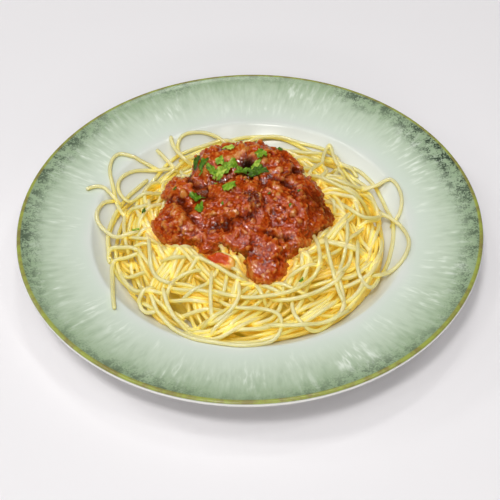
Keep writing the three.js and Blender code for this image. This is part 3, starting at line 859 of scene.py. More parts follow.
class HeightMap:
    """Heights over the plan in square cells, on which food is laid."""

    reach = 125.0
    cell = 0.5

    def __init__(self, heights: Floats | None = None) -> None:
        """Starts with some heights, or with none anywhere.

        Args:
            heights: the height of each cell, by row and column.
        """
        self.side = int(2 * self.reach / self.cell) + 1
        axis = np.arange(self.side) * self.cell - self.reach
        self.x, self.y = np.meshgrid(axis, axis)
        self.heights = np.full(self.x.shape, -np.inf) if heights is None else heights

    def cells_near(self, plan: Floats, radius: float) -> tuple[Ints, Floats]:
        """The cells within a radius of each plan point.

        Args:
            plan: plan points, two numbers a row.
            radius: the reach round each.

        Returns:
            Flat cell numbers by point, and the ball's rise over each cell, which is -inf outside it.
        """
        span = math.ceil(radius / self.cell) + 1
        steps = np.arange(-span, span + 1)
        row_step, column_step = [array.ravel() for array in np.meshgrid(steps, steps, indexing="ij")]
        middle = np.rint((plan + self.reach) / self.cell).astype(np.int64)
        column = np.clip(middle[:, 0, None] + column_step, 0, self.side - 1)
        row = np.clip(middle[:, 1, None] + row_step, 0, self.side - 1)
        dx = column * self.cell - self.reach - plan[:, 0, None]
        dy = row * self.cell - self.reach - plan[:, 1, None]
        inside = radius ** 2 - dx ** 2 - dy ** 2
        rise = np.where(inside >= 0, np.sqrt(np.maximum(inside, 0)), -np.inf)
        return row * self.side + column, rise

    def rest(self, plan: Floats, radius: float) -> Floats:
        """The height at which the centre of a ball rests over each plan point."""
        cells, rise = self.cells_near(plan, radius)
        return np.max(self.heights.ravel()[cells] + rise, axis=1)

    def lay(self, points: Floats, radius: float) -> None:
        """Raises the cells under balls centred on the points to the tops of the balls.

        Args:
            points: centres of the balls.
            radius: their radius.
        """
        cells, rise = self.cells_near(points[:, :2], radius)
        tops = points[:, 2, None] + rise
        flat = self.heights.ravel()
        np.maximum.at(flat, cells[rise >= 0], tops[rise >= 0])
        self.heights = flat.reshape(self.side, self.side)

    def at(self, plan: Floats) -> Floats:
        """The height of the nearest cell of each plan point."""
        middle = np.clip(np.rint((plan + self.reach) / self.cell).astype(np.int64), 0, self.side - 1)
        return self.heights[middle[..., 1], middle[..., 0]]

    def spread(self, radius: float) -> "HeightMap":
        """A copy in which each cell takes the greatest height within a square round it.

        Args:
            radius: half the side of the square.

        Returns:
            The copy.
        """
        span = int(radius / self.cell)
        heights = self.heights
        for axis in (0, 1):
            heights = np.max([np.roll(heights, shift, axis) for shift in range(-span, span + 1)], axis=0)
        return HeightMap(heights)

    def blurred(self, radius: float) -> "HeightMap":
        """A copy in which each cell takes the mean over a square round it, twice over.

        Args:
            radius: half the side of the square.

        Returns:
            The copy.
        """
        span = int(radius / self.cell)
        heights = self.heights
        for axis in (0, 1, 0, 1):
            heights = np.mean([np.roll(heights, shift, axis) for shift in range(-span, span + 1)], axis=0)
        return HeightMap(heights)


# Sauce


@dataclass
class Sauce:
    """The mound of bolognese: soft lobes, clumps of mince on them, and grains on the clumps."""

    heart: tuple = (0.0, 4.0, 22.0)
    spread: tuple = (50.0, 42.0, 19.0)
    # Lobes as centre x, y, z, half length, half width, half height, and turn in degrees
    lobes: tuple = (
        (-17, 37, 33, 19, 17, 13, 20), (3, 39, 34, 22, 16, 13, 0), (17, 29, 32, 16, 19, 13, 10),
        (-34, 20, 27, 17, 16, 12, 0), (-38, -3, 25, 20, 17, 12, -25), (-4, 6, 27, 34, 26, 16, 0),
        (24, 6, 27, 22, 24, 15, 0), (37, 1, 26, 12, 13, 9, 0), (33, 19, 27, 13, 14, 10, 20),
        (-4, -17, 25, 28, 17, 11, -8), (20, -15, 25, 14, 15, 10, 10), (8, -31, 23, 12.5, 18, 9.5, 8),
    )
    blend: float = 30.0
    clump_count: int = 150
    clump_seed: int = 5
    clump_polar_reach: float = 0.6 * np.pi
    clump_height: float = 2.4
    clump_radius: float = 5.5
    # Hollows as x, y, z, radius and depth: a crater in the back, and a bay in front at the left
    hollows: tuple = ((-0.5, 30.0, 43.5, 7.5, 10.0), (-14.0, -34.0, 20.0, 12.5, 8.0))
    sectors: int = 600
    rows: int = 150
    under_rows: int = 8
    edge_polar: float = 0.66 * np.pi
    # Creases between the lobes, as depth, half width and plan points; a ridge has less than no depth
    creases: tuple = (
        (2.4, 2.8, ((-38, 38), (-38, 27), (-32, 22), (-28, 13), (-23, 6), (-16, 4))),
        (2.2, 2.6, ((-49, 17), (-41, 7), (-37, 2), (-36, -5), (-32, -10), (-28, -15))),
        (2.4, 2.8, ((-28, -13), (-21, -14), (-14, -14), (-8, -11), (-1, -10), (3, -7), (6, -1))),
        (3.0, 2.0, ((9, -16), (13, -20), (20, -23), (27, -22))),
        (2.5, 2.2, ((10, 21), (16, 18), (23, 16), (29, 12))),
        (2.5, 2.4, ((36, 33), (30, 30), (26, 23), (20, 18))),
        (-2.2, 4.0, ((-31, -4), (-20, -9), (-10, -8), (-1, -5), (6, 4))),
    )
    # Round lumps of meat as x, y, z, radius and height
    lumps: tuple = (
        (1, 13, 41, 4.2, 2.6), (4, -2, 38, 4.4, 1.8), (-6, 16, 41, 3.0, 1.6), (29, 14, 36, 4.5, 1.8),
        (-44, 2, 33, 4.0, 1.6), (-24, 18, 38, 3.4, 1.4), (20, -6, 36, 3.6, 1.5), (14, -32, 29, 4.2, 1.6),
    )
    # Swells of the sauce as size, height and seed
    swells: tuple = ((13.0, 2.4, 1), (6.5, 1.5, 2), (3.0, 0.45, 3))
    # Crumbs of meat as spacing, height and seed
    crumbs: tuple = ((7.0, 1.7, 8), (4.4, 1.3, 9), (2.8, 0.8, 10), (1.8, 0.45, 11))
    # How far noise bends the pattern of swells and crumbs, and the size of that noise
    warp: float = 1.8
    warp_size: float = 8.0
    # The browned place at the right end, as x, y and radius
    browned: tuple = (41.0, 3.0, 11.0)
    browned_strength: float = 0.7
    # Painted shade: how much dark brown lies in the creases
    crease_shade: float = 0.22
    meat_strength: float = 0.28
    # Darker, redder places as x, y, radius and strength
    redder: tuple = ((8.0, -34.0, 14.0, 0.12), (30.0, -4.0, 16.0, 0.06))
    even_rounds: int = 40
    # Radius of the balls whose tops give the heights of the mound
    top_ball: float = 0.8
    surface: Surface | None = None
    top: HeightMap | None = None

    def directions(self, polar: Floats, angle: Floats) -> Floats:
        """Unit directions from the heart towards points of a flat dome.

        Args:
            polar: angles from straight up.
            angle: angles round Z.

        Returns:
            One direction for each pair of angles.
        """
        flat = np.sin(polar)
        out = np.stack([flat * np.cos(angle), flat * np.sin(angle), np.cos(polar)], axis=-1)
        return unit(out * np.array(self.spread))

    def on_lobes(self, direction: Floats) -> Floats:
        """Where rays from the heart leave the lobes: a high power mean of the exits blends them softly.

        Args:
            direction: unit directions of the rays.

        Returns:
            The point on each ray.
        """
        heart = np.array(self.heart)
        total = np.zeros(direction.shape[:-1])
        for x, y, z, long, wide, tall, turn in self.lobes:
            cos, sin = math.cos(math.radians(-turn)), math.sin(math.radians(-turn))
            turned = np.array([[cos, -sin, 0], [sin, cos, 0], [0, 0, 1]])
            size = np.array([long, wide, tall])
            start = turned @ (heart - np.array([x, y, z])) / size
            along = direction @ turned.T / size
            a = np.sum(along ** 2, axis=-1)
            b = along @ start
            inside = b ** 2 - a * (start @ start - 1)
            reach = np.where(inside > 0, (-b + np.sqrt(np.maximum(inside, 0))) / a, 0)
            total += np.maximum(reach, 0) ** self.blend
        return heart + direction * (total ** (1 / self.blend))[..., None]

    def clumps(self) -> list[tuple[Floats, float, float]]:
        """The clumps, spread by the golden angle, with sizes by the source's own seeded draws.

        Returns:
            Centre, radius and height of each.
        """
        state = self.clump_seed
        draws = []
        for _ in range(2 * self.clump_count):
            state = (state * 1664525 + 1013904223) % 4294967296
            draws.append(state / 4294967296)
        number = np.arange(self.clump_count)
        polar = np.sqrt((number + 0.5) / self.clump_count) * self.clump_polar_reach
        centres = self.on_lobes(self.directions(polar, np.radians(number * 137.508)))
        radii = self.clump_radius * (0.7 + 0.6 * np.array(draws[0::2]))
        heights = self.clump_height * (-0.5 + 1.5 * np.array(draws[1::2]))
        return list(zip(centres, radii, heights))

    @staticmethod
    def spot(places: Floats, centre: tuple | list, radius: float) -> Floats:
        """A flat-topped bell round a centre: the exponential of minus the fourth power of the distance.

        Args:
            places: points of the mound.
            centre: the centre, in space or in the plan.
            radius: the distance at which the bell has fallen to 0.37.

        Returns:
            Numbers from 0 to 1.
        """
        away = np.linalg.norm(places[:, :len(centre)] - np.array(centre), axis=1) / radius
        return np.exp(-away ** 4)

    def relief(self, places: Floats) -> Floats:
        """Height of clumps, hollows and lumps at places on the smooth lobes: squared and flat-topped bells.

        Args:
            places: points of the smooth lobes.

        Returns:
            The height at each.
        """
        total = np.zeros(len(places))
        for centre, radius, height in self.clumps():
            near = 1 - np.sum((places - centre) ** 2, axis=1) / radius ** 2
            total += np.where(near > 0, height * near * near, 0)
        for *centre, radius, depth in self.hollows:
            total -= depth * self.spot(places, centre, radius)
        for *centre, radius, height in self.lumps:
            total += height * self.spot(places, centre, radius)
        return total

    def crease_depth(self, places: Floats) -> Floats:
        """Depth of the creases at places: a bell over the plan distance to each crease's line.

        Args:
            places: points of the smooth mound.

        Returns:
            The depth at each.
        """
        depth = np.zeros(len(places))
        for deep, half_width, corners in self.creases:
            line = curve_through(np.array(corners, dtype=float), 1.0)
            away = np.linalg.norm(places[:, None, :2] - line[None], axis=2)
            nearest = np.linspace(0, 1, len(line))[np.argmin(away, axis=1)]
            fade = np.clip(np.minimum(nearest, 1 - nearest) * 5, 0, 1)
            depth += deep * fade * np.exp(-(np.min(away, axis=1) / half_width) ** 2)
        return depth * eased(places[:, 2], 12, 18)

    def averaged(self, grid: Floats, rows: int, columns: int) -> Floats:
        """Means over the neighbours of each place of a grid that is closed from column to column.

        Args:
            grid: vectors by row and column.
            rows: how many rows each way count.
            columns: how many columns each way count.

        Returns:
            The means by row and column.
        """
        row = np.arange(len(grid))
        steps = range(-rows, rows + 1)
        grid = np.mean([grid[np.clip(row + step, 0, len(grid) - 1)] for step in steps], axis=0)
        return np.mean([np.roll(grid, step, 1) for step in range(-columns, columns + 1)], axis=0)

    def bulge(self, reach: int) -> Floats:
        """How far each point stands out, along its normal, from the mean of its neighbours.

        Args:
            reach: how many neighbours each way count.

        Returns:
            The distance at each point, more than 0 on a bump.
        """
        grid = self.surface.points[:-2].reshape(-1, self.sectors, 3)
        mean = self.averaged(grid, reach, reach)
        out = np.sum((grid - mean).reshape(-1, 3) * self.surface.normals()[:-2], axis=1)
        return np.append(out, [0.0, 0.0])

    def even_out(self, surface: Surface) -> None:
        """Slides the points along the mound until none lie far apart, as they do on its steep places.

        Args:
            surface: the smooth mound.
        """
        for _ in range(self.even_rounds):
            grid = surface.points[:-2].reshape(-1, self.sectors, 3)
            padded = np.concatenate([grid[:1], grid, grid[-1:]])
            mean = (padded[:-2] + padded[2:] + np.roll(grid, 1, 1) + np.roll(grid, -1, 1)) / 4
            normals = surface.normals()[:-2]
            pull = (mean - grid).reshape(-1, 3)
            pull -= np.sum(pull * normals, axis=1, keepdims=True) * normals
            surface.points = np.concatenate([surface.points[:-2] + 0.8 * pull, surface.points[-2:]])

    def film(self) -> Floats:
        """Directions that the wet film faces: the mound's normals, averaged because it bridges fine crumbs.

        Returns:
            One unit vector per point.
        """
        normals = self.surface.normals()
        grid = normals[:-2].reshape(-1, self.sectors, 3)
        for _ in range(2):
            grid = self.averaged(grid, 1, 2)
        return unit(np.concatenate([grid.reshape(-1, 3), normals[-2:]]))

    def shape(self) -> None:
        """Works out the mound and the heights of its top: lobes, creases, swells and crumbs in turn."""
        polar = np.concatenate([
            np.linspace(0, self.edge_polar, self.rows + 1)[1:],
            np.linspace(self.edge_polar, np.pi, self.under_rows + 2)[1:-1],
        ])
        pairs = np.meshgrid(polar, full_turn(self.sectors), indexing="ij")
        direction = self.directions(*[array.ravel() for array in pairs])
        direction = np.concatenate([direction, self.directions(np.array([0.0, np.pi]), np.zeros(2))])
        smooth = self.on_lobes(direction)
        places = smooth + direction * self.relief(smooth)[:, None]
        surface = closed_rings(places[:-2].reshape(-1, self.sectors, 3), places[-2], places[-1])
        self.even_out(surface)
        places = surface.points
        surface.push(-self.crease_depth(places))
        noises = [soft_noise(places, self.warp_size, 30 + axis) for axis in range(3)]
        warped = places + self.warp * np.stack(noises, axis=1)
        for size, height, seed in self.swells:
            surface.push(height * soft_noise(warped, size, seed))
        meat = np.zeros(len(places))
        for spacing, height, seed in self.crumbs:
            nearest, kind = grain_noise(warped, spacing, seed)
            radius = 0.27 + 0.2 * np.mod(kind * 37, 1)
            crumb = np.clip(1 - (nearest / radius) ** 2, 0, 1) ** 0.8 * (kind > 0.3)
            surface.push(height * (crumb - np.mean(crumb)))
            meat = np.maximum(meat, crumb * eased(kind, 0.74, 0.95))
        self.surface = surface
        shown = self.meat_strength * meat
        self.surface.values = {**self.tones(places), "meat": shown, "film": self.film()}
        self.top = HeightMap()
        self.top.lay(surface.points[: self.rows * self.sectors], self.top_ball)
        self.top.heights -= self.top_ball

    def tones(self, places: Floats) -> dict[str, Floats]:
        """What the finish needs at each point: its tone, how browned or crease-shaded it is, and the
        crater's painted shade.

        The tone is painted light and shade, brighter where a point stands out and darker in creases; it
        varies with soft noise.

        Args:
            places: points of the mound before its swells and crumbs.

        Returns:
            The numbers by name.
        """
        fine, broad = self.bulge(2), self.bulge(9)
        creased = self.crease_depth(places)
        # Painted light and shade: bumps lighter, hollows and creases darker
        tone = 0.5 + 0.13 * fine / np.std(fine) + 0.13 * broad / np.std(broad)
        tone += 0.1 * soft_noise(places, 14.0, 41) - 0.03 * creased
        for *centre, radius, strength in self.redder:
            tone -= strength * self.spot(places, centre, radius)
        *centre, radius = self.browned
        patchy = eased(soft_noise(places, 4.0, 42), -0.7, 0.2)
        browned = self.browned_strength * self.spot(places, centre, radius) * patchy
        x, y, _, radius, _ = self.hollows[0]
        return {
            "tone": np.clip(tone, 0.08, 1),
            # Browned places, and dark brown in the creases as painted shade
            "browned_and_crease_shade": np.clip(browned + self.crease_shade * creased, 0, 0.75),
            # Painted shade: the crater goes near black
            "crater_shade": self.spot(places, (x, y), 0.8 * radius),
        }

    def build(self, finish: Finish) -> bpy.types.Object:
        """Makes the mound, which stands for the CAD sauce."""
        mound = make_piece("bolognese_mound", self.surface, finish)
        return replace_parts(mound, "bolognese_sauce")


# Spaghetti


class Ends(Enum):
    """Whether the start and the end of a strand go down into the heap."""

    DOWN = (True, True)
    START_FREE = (False, True)
    END_FREE = (True, False)


# Strands that stand out in the photo, as plan places with the height that each was judged at
SHOWN_STRANDS: tuple = (
    (Ends.DOWN, ((-61, -9, 24), (-59, -23, 24), (-58, -37, 24), (-53, -46, 24), (-43, -51, 24))),
    (Ends.DOWN, ((-22, -41, 26), (-23, -53, 26), (-23, -68, 26), (-22, -81, 26))),
    (Ends.DOWN, ((-51, -52, 22), (-48, -64, 22), (-43, -76, 22), (-36, -83, 22))),
    (Ends.DOWN, ((-59, -46, 11), (-55, -59, 14), (-50, -71, 18), (-45, -81, 21), (-38, -87, 22),
        (-32, -90, 22), (-19, -94, 23), (-8, -96, 23), (0, -96, 23), (11, -93, 22), (16, -86, 21),
        (18, -76, 23), (14, -72, 23), (6, -69, 23), (-8, -68, 23), (-19, -67, 23))),
    (Ends.DOWN, ((56, -69, 20), (43, -75, 18), (32, -77, 18), (20, -78, 19), (6, -80, 20))),
    (Ends.DOWN, ((24, 71, 20), (33, 68, 20), (43, 66, 20), (49, 66, 20))),
    (Ends.DOWN, ((38, 41, 24), (51, 34, 24), (59, 27, 24), (68, 18, 24), (75, 7, 24))),
    (Ends.DOWN, ((46, 40, 22), (54, 38, 22), (63, 32, 22), (77, 31, 22), (84, 36, 22))),
    (Ends.DOWN, ((-60, 19, 22), (-67, 16, 22), (-74, 15, 22), (-77, 2, 22), (-74, -15, 22))),
    (Ends.DOWN, ((-77, 21, 20), (-77, 6, 20), (-75, -9, 20), (-71, -28, 20))),
    (Ends.DOWN, ((-79, -29, 16), (-75, -38, 16), (-70, -44, 15), (-64, -47, 14), (-50, -50, 16))),
    (Ends.DOWN, ((-64, -16, 16), (-70, -13, 16), (-77, -12, 16), (-82, -12, 17), (-85, -15, 18),
        (-86, -20, 18), (-84, -25, 17))),
    (Ends.END_FREE, ((-64, -20, 20), (-70, -20, 20), (-77, -22, 20), (-81, -24, 20), (-83, -29, 20),
        (-82, -35, 20), (-81, -42, 20), (-80, -50, 20), (-79, -59, 21), (-78, -67, 23))),
    (Ends.START_FREE, ((-55, -70, 19), (-60, -69, 21), (-63, -64, 20), (-65, -57, 18), (-64, -50, 14),
        (-55, -44, 14))),
    (Ends.DOWN, ((-37, 67, 11), (-42, 69, 14), (-46, 73, 18), (-47, 77, 20), (-44, 82, 22),
        (-40, 85, 22), (-34, 86, 22), (-25, 87, 20), (-18, 84, 18), (-8, 76, 12))),
    (Ends.START_FREE, ((-50, 82, 23), (-50, 78, 21), (-47, 74, 18), (-41, 69, 14), (-34, 62, 12))),
    (Ends.START_FREE, ((-59, 71, 21), (-55, 68, 19), (-52, 66, 16), (-45, 58, 12))),
    (Ends.DOWN, ((-47, 62, 12), (-59, 58, 15), (-71, 54, 19), (-77, 49, 21), (-82, 44, 21),
        (-83, 38, 21), (-82, 33, 19), (-79, 31, 17), (-73, 30, 13), (-68, 31, 10), (-61, 33, 10),
        (-54, 38, 10))),
    (Ends.DOWN, ((-56, 57, 15), (-65, 60, 19), (-71, 62, 22), (-78, 65, 23), (-84, 65, 24),
        (-87, 60, 24), (-88, 52, 23), (-87, 44, 23), (-85, 38, 22), (-84, 31, 20), (-82, 24, 17),
        (-76, 14, 15))),
    (Ends.DOWN, ((-84, 26, 19), (-89, 24, 21), (-92, 20, 22), (-94, 14, 22), (-94, 7, 22), (-90, 2, 20),
        (-86, -1, 18), (-81, -1, 14), (-76, -1, 11), (-69, 2, 10), (-65, 4, 10))),
    (Ends.START_FREE, ((-101, 32, 24), (-96, 36, 23), (-90, 35, 23), (-86, 31, 21), (-84, 29, 19),
        (-79, 22, 18))),
    (Ends.DOWN, ((47, 59, 11), (47, 67, 14), (50, 71, 18), (53, 75, 21), (54, 73, 21), (54, 67, 18),
        (55, 61, 15), (60, 55, 14))),
    (Ends.DOWN, ((56, 62, 16), (62, 56, 16), (67, 52, 17), (69, 47, 16))),
    (Ends.DOWN, ((70, 32, 18), (80, 36, 19), (85, 38, 21), (89, 38, 23), (92, 33, 23), (94, 25, 23),
        (94, 16, 22), (92, 8, 21), (86, -2, 19))),
    (Ends.DOWN, ((78, 12, 18), (84, 8, 19), (89, 4, 19), (92, -3, 21), (95, -13, 22), (95, -21, 23),
        (93, -26, 23), (90, -33, 23), (85, -39, 22), (78, -40, 19), (68, -42, 18))),
    (Ends.DOWN, ((55, 17, 22), (60, 12, 22), (66, 6, 22), (71, 3, 22), (77, 3, 22), (81, 5, 22))),
    (Ends.DOWN, ((64, -13, 20), (63, -25, 20), (62, -38, 20), (64, -46, 20), (66, -51, 20),
        (70, -51, 20), (73, -48, 20), (75, -44, 20))),
    (Ends.DOWN, ((58, 5, 24), (58, -12, 24), (55, -29, 24), (51, -45, 24))),
    (Ends.DOWN, ((45, -12, 24), (45, -25, 24), (47, -35, 24), (48, -45, 24), (51, -61, 24),
        (54, -71, 24))),
    (Ends.DOWN, ((37, -11, 26), (40, -22, 26), (41, -33, 26), (39, -43, 26))),
    (Ends.DOWN, ((32, -17, 27), (30, -31, 27), (30, -43, 27))),
    (Ends.DOWN, ((55, -41, 24), (50, -50, 24), (45, -53, 24), (36, -59, 24), (25, -63, 24),
        (10, -66, 24))),
    (Ends.DOWN, ((42, -35, 26), (38, -45, 26), (31, -54, 26), (22, -59, 26), (11, -61, 26),
        (1, -63, 26), (-12, -61, 26), (-24, -56, 25))),
    (Ends.DOWN, ((23, -32, 28), (22, -39, 28), (19, -46, 28), (15, -52, 28), (6, -55, 28),
        (-2, -55, 28))),
    (Ends.DOWN, ((-46, -53, 28), (-38, -47, 28), (-26, -43, 28))),
    (Ends.DOWN, ((-53, -36, 28), (-46, -33, 28), (-36, -32, 28))),
    (Ends.DOWN, ((-53, -11, 30), (-46, -22, 30), (-36, -27, 30), (-28, -25, 30))),
    (Ends.DOWN, ((-36, -30, 27), (-26, -34, 27), (-16, -42, 27), (-8, -48, 26), (4, -53, 26))),
    (Ends.DOWN, ((-8, -49, 25), (-6, -55, 25), (-7, -63, 25), (-10, -69, 25), (-14, -75, 25),
        (-19, -80, 25), (-24, -84, 25))),
)


@dataclass
class Spaghetti:
    """The heap of spaghetti: a core, strands that wander over it, and on top those that the photo shows.

    A strand's plan is a curve, and its heights come from laying it on what is already there.
    """

    plate: Plate
    sauce: Sauce
    outline: tuple = (77, 76, 75, 73, 70, 61, 68, 70, 74, 79, 83, 88, 91, 88, 83, 79)
    centre_height: float = 29.0
    fall: float = 12.0
    fall_radius: float = 90.0
    plate_gap: float = 0.7
    overhang: float = 3.0
    core_drop: float = 6.5
    core_share: float = 0.86
    core_least: float = 1.6
    core_ball: float = 4.0
    strand_radius: float = 1.3
    sides: int = 8
    step: float = 1.5
    sink: float = 0.12
    rise: float = 6.0
    dive: float = 4.5
    dive_length: float = 9.0
    # A strand lies this far over the plate, and its ends are drawn in
    clearance: float = 0.15
    end_share: float = 0.72
    end_bulge: float = 0.25
    seed: int = 11
    walk_steps: int = 150
    # Shares of the outline's area within which walks start, and of its radius where they begin to turn
    starts: tuple = (0.03, 0.93)
    turn_from: tuple = (0.74, 0.98)
    # A bundle's walks are long, single ones vary, and fillers are short, as shares of the full walk
    bundle_lengths: tuple = (0.45, 1.0)
    single_lengths: tuple = (0.5, 1.0)
    filler_lengths: tuple = (0.2, 0.45)
    # How strongly a strand bends at first, loses its bend, drifts, and turns along the outline, and how
    # wide a part of the outline's radius that turn comes up in
    first_bend: float = 0.02
    bend_loss: float = 0.06
    bend_drift: float = 0.0065
    edge_turn: float = 0.085
    edge_width: float = 0.14
    # Bundles of strands side by side, then single strands, then short ones that fill holes
    bundles: int = 160
    bundle_least: int = 3
    bundle_most: int = 7
    spacing: float = 2.75
    bundle_turn: float = 15.0
    walkers: int = 300
    fillers: int = 2600
    single_turn: float = 7.0
    # How far over the dome a strand may lie, on average, to be laid
    fill_rise: float = 0.2
    filler_rise: float = 0.7
    edge_depth: float = 3.0
    companions: int = 3
    companion_rise: float = 1.5
    companion_gap: tuple = (2.7, 8.0)
    piece_limit: int = 190_000
    # How far a strand moves towards the viewer in plan for each millimetre over its judged height
    view_slope: float = 0.974
    under_sauce: float = 3.2
    # Strands take the full painted glow and shade of the gaps this far below the highest near them, which is
    # judged over the crest's reach, and are stained up to the sauce's reach from its edge
    glow_depth: float = 4.5
    crest_reach: float = 1.5
    sauce_reach: float = 2.5
    # Strands near the top are paler by a random share up to this, partly their own tone and partly painted
    # light
    creamiest: float = 0.45
    stain_strength: float = 0.55
    ground: HeightMap | None = None
    # Lowest height of the sauce's top near each cell, and far above where there is no sauce
    cover: HeightMap | None = None
    strands: list = field(default_factory=list)

    def outline_at(self, angle: Floats) -> Floats:
        """Radius of the heap's outline: a closed cubic curve through radii given every 22.5 degrees.

        Args:
            angle: angles round Z.

        Returns:
            The radius at each.
        """
        place = np.mod(angle / (2 * np.pi), 1) * len(self.outline)
        index = np.floor(place).astype(np.int64)
        t = place - index
        radii = np.array(self.outline, dtype=float)
        before, start, end, after = [radii[(index + k) % len(radii)] for k in (-1, 0, 1, 2)]
        return cubic(before, start, end, after, t)

    def edge_at(self, plan: Floats) -> Floats:
        """Radius of the heap's outline in the direction of each plan point."""
        return self.outline_at(np.arctan2(plan[:, 1], plan[:, 0]))

    def dome(self, radius: Floats) -> Floats:
        """Height of the heap's dome at a radius, falling with its square."""
        return self.centre_height - self.fall * (radius / self.fall_radius) ** 2

    def crown(self, plan: Floats) -> Floats:
        """Height up to which the heap is filled: the dome, rounded off towards the outline.

        Args:
            plan: plan points.

        Returns:
            The height at each.
        """
        reach = np.hypot(*plan.T)
        inside = np.maximum(self.edge_at(plan) - reach, 0)
        return np.minimum(self.dome(reach), self.plate.top(reach) + self.edge_depth + inside)

    def core(self) -> Surface:
        """The core: a lens inside the outline, its top the dome let down and rounded off at the edge.

        Returns:
            The closed lens.
        """
        share, upper = lens_rows(24, 8)
        angle = full_turn(96)
        radius = share[:, None] * self.outline_at(angle) * self.core_share
        bottom = self.plate.top(radius) + self.plate_gap
        thickness = np.maximum(self.dome(radius) - self.core_drop - bottom, self.core_least)
        rounded = np.sqrt(1 - share[:, None] ** 6)
        height = bottom + np.where(upper[:, None], thickness * rounded, 0)
        rings = np.stack([radius * np.cos(angle), radius * np.sin(angle), height], axis=-1)
        top = np.array([0, 0, self.centre_height - self.core_drop])
        return closed_rings(rings, top, np.array([0, 0, self.plate.floor_height + self.plate_gap]))

    def wandering_plans(self, rng: np.random.Generator, count: int, lengths: tuple[float, float],
                        tightest: float) -> list[Floats]:
        """Plans of strands that wander: their bend drifts at random, and near the outline turns along it.

        Args:
            rng: the seeded source of random numbers.
            count: number of plans.
            lengths: least and greatest length, as shares of the full walk.
            tightest: least radius of their bends.

        Returns:
            The plans, as rows of plan points.
        """
        angle = rng.uniform(0, 2 * np.pi, count)
        reach = np.sqrt(rng.uniform(*self.starts, count)) * self.outline_at(angle)
        x, y = reach * np.cos(angle), reach * np.sin(angle)
        heading = angle + rng.choice([-1, 1], count) * rng.uniform(0.3, 1.9, count)
        bend = rng.normal(0, self.first_bend, count)
        liking = rng.uniform(*self.turn_from, count)
        path = []
        for _ in range(self.walk_steps):
            path.append(np.stack([x, y], axis=1))
            bend += -self.bend_loss * bend + rng.normal(0, self.bend_drift, count)
            angle = np.arctan2(y, x)
            reach = np.hypot(x, y) / self.outline_at(angle)
            crowded = np.clip((reach - liking) / self.edge_width, 0, 1.6)
            away = heading - angle
            outwards = np.maximum(np.cos(away) + 0.2, 0)
            turn = np.where(np.sin(away) >= 0, 1, -1) * outwards * crowded * self.edge_turn
            heading = heading + np.clip(bend + turn, -1 / tightest, 1 / tightest) * self.step
            x, y = x + np.cos(heading) * self.step, y + np.sin(heading) * self.step
        paths = np.stack(path, axis=1)
        steps = (rng.uniform(*lengths, count) * self.walk_steps).astype(int)
        return [paths[i, : steps[i]] for i in range(count)]

    def beside(self, plan: Floats, shift: Floats) -> Floats:
        """A plan moved sideways, kept inside the outline and eased.

        Args:
            plan: plan points.
            shift: how far each point moves to its right.

        Returns:
            The moved plan.
        """
        tangent = unit(np.gradient(plan, axis=0))
        moved = plan + np.stack([tangent[:, 1], -tangent[:, 0]], axis=1) * shift[:, None]
        limit = self.edge_at(moved) + self.overhang
        moved *= np.minimum(1, limit / np.hypot(*moved.T))[:, None]
        return smoothed(moved, 12)

    def bundle_plans(self, rng: np.random.Generator) -> list[Floats]:
        """Plans of strands that lie side by side along a wandering guide, each with a slow wave of its own.

        Args:
            rng: the seeded source of random numbers.

        Returns:
            The plans, bundle by bundle.
        """
        plans = []
        for guide in self.wandering_plans(rng, self.bundles, self.bundle_lengths, self.bundle_turn):
            along = np.arange(len(guide)) * self.step
            count = rng.integers(self.bundle_least, self.bundle_most + 1)
            for number in range(count):
                wave = rng.uniform(0.2, 1.3) * np.sin(along * rng.uniform(0.03, 0.1) + rng.uniform(0, 6))
                plan = self.beside(guide, (number - (count - 1) / 2) * self.spacing + wave)
                start, stop = rng.integers(0, 14, 2)
                plans.append(plan[start: len(plan) - stop])
        return plans

    def companion_plans(self, rng: np.random.Generator) -> list[Floats]:
        """Plans beside the shown strands, a few strand widths off, which varies along the way.

        Args:
            rng: the seeded source of random numbers.

        Returns:
            The plans.
        """
        plans = []
        for _ in range(self.companions):
            for _, corners in SHOWN_STRANDS:
                plan = curve_through(np.array(corners, dtype=float)[:, :2], self.step)
                along = np.linspace(0, 1, len(plan))
                wave = rng.uniform(-4, 4) * np.sin(along * rng.uniform(2, 5) + rng.uniform(0, 6))
                beside = self.beside(plan, rng.choice([-1, 1]) * rng.uniform(*self.companion_gap) + wave)
                if np.all(np.hypot(*beside.T) < self.edge_at(beside) + self.overhang):
                    plans.append(beside)
        return plans

    def heights_for(self, plan: Floats, ends: Ends) -> Floats:
        """Heights of a strand laid on what is there.

        It rests on the highest thing under it, bridges hollows by its stiffness, stays under the sauce
        and the top of the heap, and goes down at the ends that are marked.

        Args:
            plan: plan points.
            ends: which ends go down.

        Returns:
            The height at each plan point.
        """
        rest = self.ground.rest(plan, self.strand_radius) - self.sink
        reach = np.hypot(*plan.T)
        floor = self.plate.top(reach) + self.strand_radius + self.clearance
        ceiling = np.maximum(self.dome(reach) + self.rise, floor)
        ceiling = np.minimum(ceiling, self.cover.at(plan) - self.under_sauce)
        heights = rest.copy()
        for _ in range(10):
            heights[1:-1] = np.maximum(rest[1:-1], (heights[:-2] + heights[2:]) / 2)
        heights = smoothed(np.minimum(heights, ceiling), 6)
        distance = np.arange(len(plan)) * self.step
        for goes_down, gone in zip(ends.value, (distance, distance[::-1])):
            if goes_down:
                heights -= self.dive * np.clip(1 - gone / self.dive_length, 0, 1) ** 1.5
        return np.maximum(heights, floor)

    def lay(self, plan: Floats, ends: Ends = Ends.DOWN) -> None:
        """Lays one strand and keeps its points.

        Args:
            plan: plan points.
            ends: which ends go down.
        """
        points = np.column_stack([plan, self.heights_for(plan, ends)])
        self.ground.lay(points, self.strand_radius)
        self.strands.append(points)

    def fill(self, plans: list[Floats], rise: float) -> None:
        """Lays those of the strands that would lie, on average, lower than a height over the dome.

        Args:
            plans: plans of the strands.
            rise: the height over the dome.
        """
        for plan in plans:
            over = self.ground.rest(plan, self.strand_radius) - self.crown(plan)
            if np.mean(over) < rise:
                self.lay(plan)

